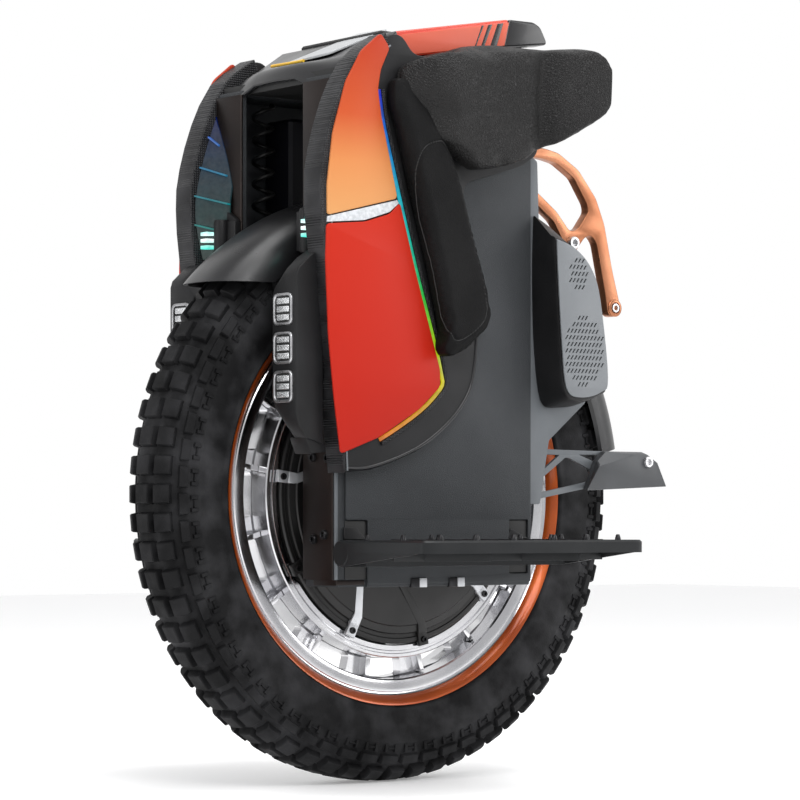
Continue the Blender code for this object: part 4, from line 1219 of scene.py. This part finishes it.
def pedal_floor(y):
    """Height of the skirt's lower edge: deep beside the hinge and shallow outside."""
    near = PEDAL_PIN_Y + 0.0165
    return 0.1955 + 0.0135 * max(0.0, y - near) / (PEDAL_HIGH.y - near)


def pedal_ring(inset, height):
    """A closed ring of the pedal's skirt; height None puts it on the lower edge."""
    ring = []
    for point in pedal_outline(inset):
        z = pedal_floor(point.y) if height is None else height
        ring.append((point.x, point.y, z))
    return ring


def build_pedals():
    """Folding pedals: a deck with a tapered skirt, ribs below, grip studs and the hinge barrels."""
    top = PEDAL_HIGH.z
    rings = [pedal_ring(0.0045, top - 0.005), pedal_ring(0.0035, None), pedal_ring(0.0008, None),
             pedal_ring(0.0, top - 0.011), pedal_ring(0.0, top - 0.0018), pedal_ring(0.0018, top)]
    rings[2] = [(x, y, z + 0.0001) for x, y, z in rings[2]]
    parts = [loft(rings)]
    for start, end in (((-0.116, 0.126), (-0.05, 0.216)), ((-0.05, 0.216), (0.0, 0.126)),
                       ((0.0, 0.126), (0.05, 0.216)), ((0.05, 0.216), (0.116, 0.126)),
                       ((-0.118, 0.17), (0.118, 0.17))):
        low_z = pedal_floor(0.16)
        parts.append(plate([strip([start, end], -0.0012, 0.0012)], low_z, top - 0.0045, 0.0003, "Z"))
    ear_gaps = ((-0.126, -0.0965), (-0.0805, 0.0955), (0.1115, 0.124))
    for low_x, high_x in ear_gaps:
        radius = 0.0115 if low_x > 0.1 else 0.0085
        barrel = [(0.0001, low_x), (radius - 0.0008, low_x), (radius, low_x + 0.0008),
                  (radius, high_x - 0.0012), (radius - 0.0012, high_x), (0.0001, high_x)]
        parts.append(turned(barrel, 40, (PEDAL_PIN_Y, PEDAL_PIN_Z), closed=False, axis="X"))
        parts.append(block((low_x, PEDAL_PIN_Y, PEDAL_PIN_Z - 0.006),
                           (high_x - 0.001, PEDAL_PIN_Y + 0.02, PEDAL_PIN_Z + 0.01), 0.001))
    put_pair("pedal_body", merged(parts), "pedal", "pedal", "pedal", 35.0)
    spots = [(0.1, 0.211), (0.062, 0.211), (0.02, 0.211), (-0.026, 0.211), (-0.062, 0.211), (-0.1, 0.211),
             (0.115, 0.18), (0.078, 0.182), (0.036, 0.182), (-0.006, 0.182), (-0.048, 0.182),
             (-0.09, 0.182), (0.115, 0.132), (0.06, 0.15), (0.01, 0.15), (-0.04, 0.15), (-0.088, 0.15)]
    studs = [turned([(0.0027, top - 0.0006), (0.0025, top + 0.0016), (0.0016, top + 0.0044),
                     (0.0011, top + 0.0048), (0.0001, top + 0.0048)], 14, spot, closed=False, axis="Z")
             for spot in spots]
    put_pair("pedal_studs", merged(studs), "bolt", "pedal")
    ridges = []
    for step in range(-5, 6):
        middle = step * 0.02
        ridge = strip([(middle - 0.012, 0.13), (middle + 0.012, 0.204)], -0.0008, 0.0008)
        ridges.append(plate([ridge], top - 0.0004, top + 0.0006, 0.0003, "Z"))
    put_pair("pedal_grip", merged(ridges), "plastic", "pedal")
    rod = [(0.0001, -0.0975), (0.0042, -0.0975), (0.005, -0.0967), (0.005, 0.1228), (0.0044, 0.1234),
           (0.0001, 0.1234)]
    put_pair("hinge_rod", turned(rod, 32, (PEDAL_PIN_Y, PEDAL_PIN_Z), closed=False, axis="X"), "bolt",
             "pedal", "pedal_pin")


# ---------------------------------------------------------------- CAD nodes that stay

# The battery pack's near-black wrap is painted shade inside the box.
NODE_LOOKS = (("axle_block", "bar"), ("axle", "steel"), ("motor_stator", "copper"), ("motor_drum", "motor"),
              ("magnet_ring", "steel"), ("wheel_bearing", "steel"), ("stanchion", "steel"),
              ("battery_pack", "wrap"), ("side_box", "slate"), ("frame_spine", "slate"),
              ("controller_box", "slate"), ("top_deck", "plastic"), ("power_button", "silver"))


def dress_nodes():
    """Give every CAD node that is still shown its material."""
    for name, node in NODES.items():
        if node.hide_render:
            continue
        look = next(material for start, material in NODE_LOOKS if name.startswith(start))
        node.data.materials.clear()
        node.data.materials.append(MAT[look])


# ---------------------------------------------------------------- studio

BACKDROP = (-0.62, -0.78, 0.0)
DIM_ROOM = (0.62, 0.62, 0.63)
WHITE = (1.0, 1.0, 1.0)
LAMPS = (("key", (0.9, 2.4, 2.2), 1.4, 40.0), ("front", (3.0, -0.4, 1.2), 1.6, 22.0),
         ("top", (-0.3, 0.6, 2.6), 1.8, 44.0), ("rear", (-2.2, 1.6, 1.2), 1.2, 20.0))


def build_studio():
    """A pale floor, a white backdrop behind the object, a dimmer room in front and four soft lamps."""
    floor_shape = bmesh.new()
    bmesh.ops.create_grid(floor_shape, x_segments=1, y_segments=1, size=6.0)
    floor = work_object(mesh_from(floor_shape))
    floor.name = "studio_floor"
    shader = MAT["floor"].node_tree.nodes["Principled BSDF"]
    shader.inputs["Emission Color"].default_value = (*WHITE, 1.0)
    shader.inputs["Emission Strength"].default_value = 0.22
    floor.data.materials.append(MAT["floor"])
    world = bpy.data.worlds.new("studio")
    world.use_nodes = True
    tree = world.node_tree
    background = tree.nodes["Background"]
    background.inputs["Strength"].default_value = 1.0
    place = tree.nodes.new("ShaderNodeTexCoord").outputs["Generated"]
    facing = tree.nodes.new("ShaderNodeVectorMath")
    facing.operation = "DOT_PRODUCT"
    facing.inputs[1].default_value = BACKDROP
    tree.links.new(place, facing.inputs[0])
    shade = colour_ramp(tree, facing.outputs["Value"], [(0.2, DIM_ROOM), (0.6, WHITE)])
    tree.links.new(shade, background.inputs["Color"])
    bpy.context.scene.world = world
    bpy.context.scene.view_settings.view_transform = "Standard"
    target = Vector((0.0, 0.0, 0.35))
    for name, place, size, power in LAMPS:
        data = bpy.data.lights.new(name, "AREA")
        data.size = size
        data.energy = power
        light = bpy.data.objects.new(name, data)
        light.location = place
        light.rotation_euler = (target - Vector(place)).to_track_quat("-Z", "Y").to_euler()
        bpy.context.scene.collection.objects.link(light)


def build_camera():
    """Level camera, ahead and to the left, framed with a vertical shift."""
    data = bpy.data.cameras.new("camera")
    data.lens = 135.0
    data.sensor_width = 36.0
    data.shift_y = 0.151
    camera = bpy.data.objects.new("camera", data)
    camera.location = (AXLE_X + 1.679, 2.14, 0.235)
    camera.rotation_euler = (math.radians(90.0), 0.0, math.radians(141.47))
    bpy.context.scene.collection.objects.link(camera)
    bpy.context.scene.camera = camera


# ---------------------------------------------------------------- build

build_studio()
build_camera()
build_tyre()
build_rim()
build_motor()
build_mudguard()
build_covers()
build_brackets()
build_linings()
build_spring_units()
build_rear()
build_shells()
build_panels()
build_lamps()
build_hood()
build_rails()
build_pads()
build_pedals()
dress_nodes()
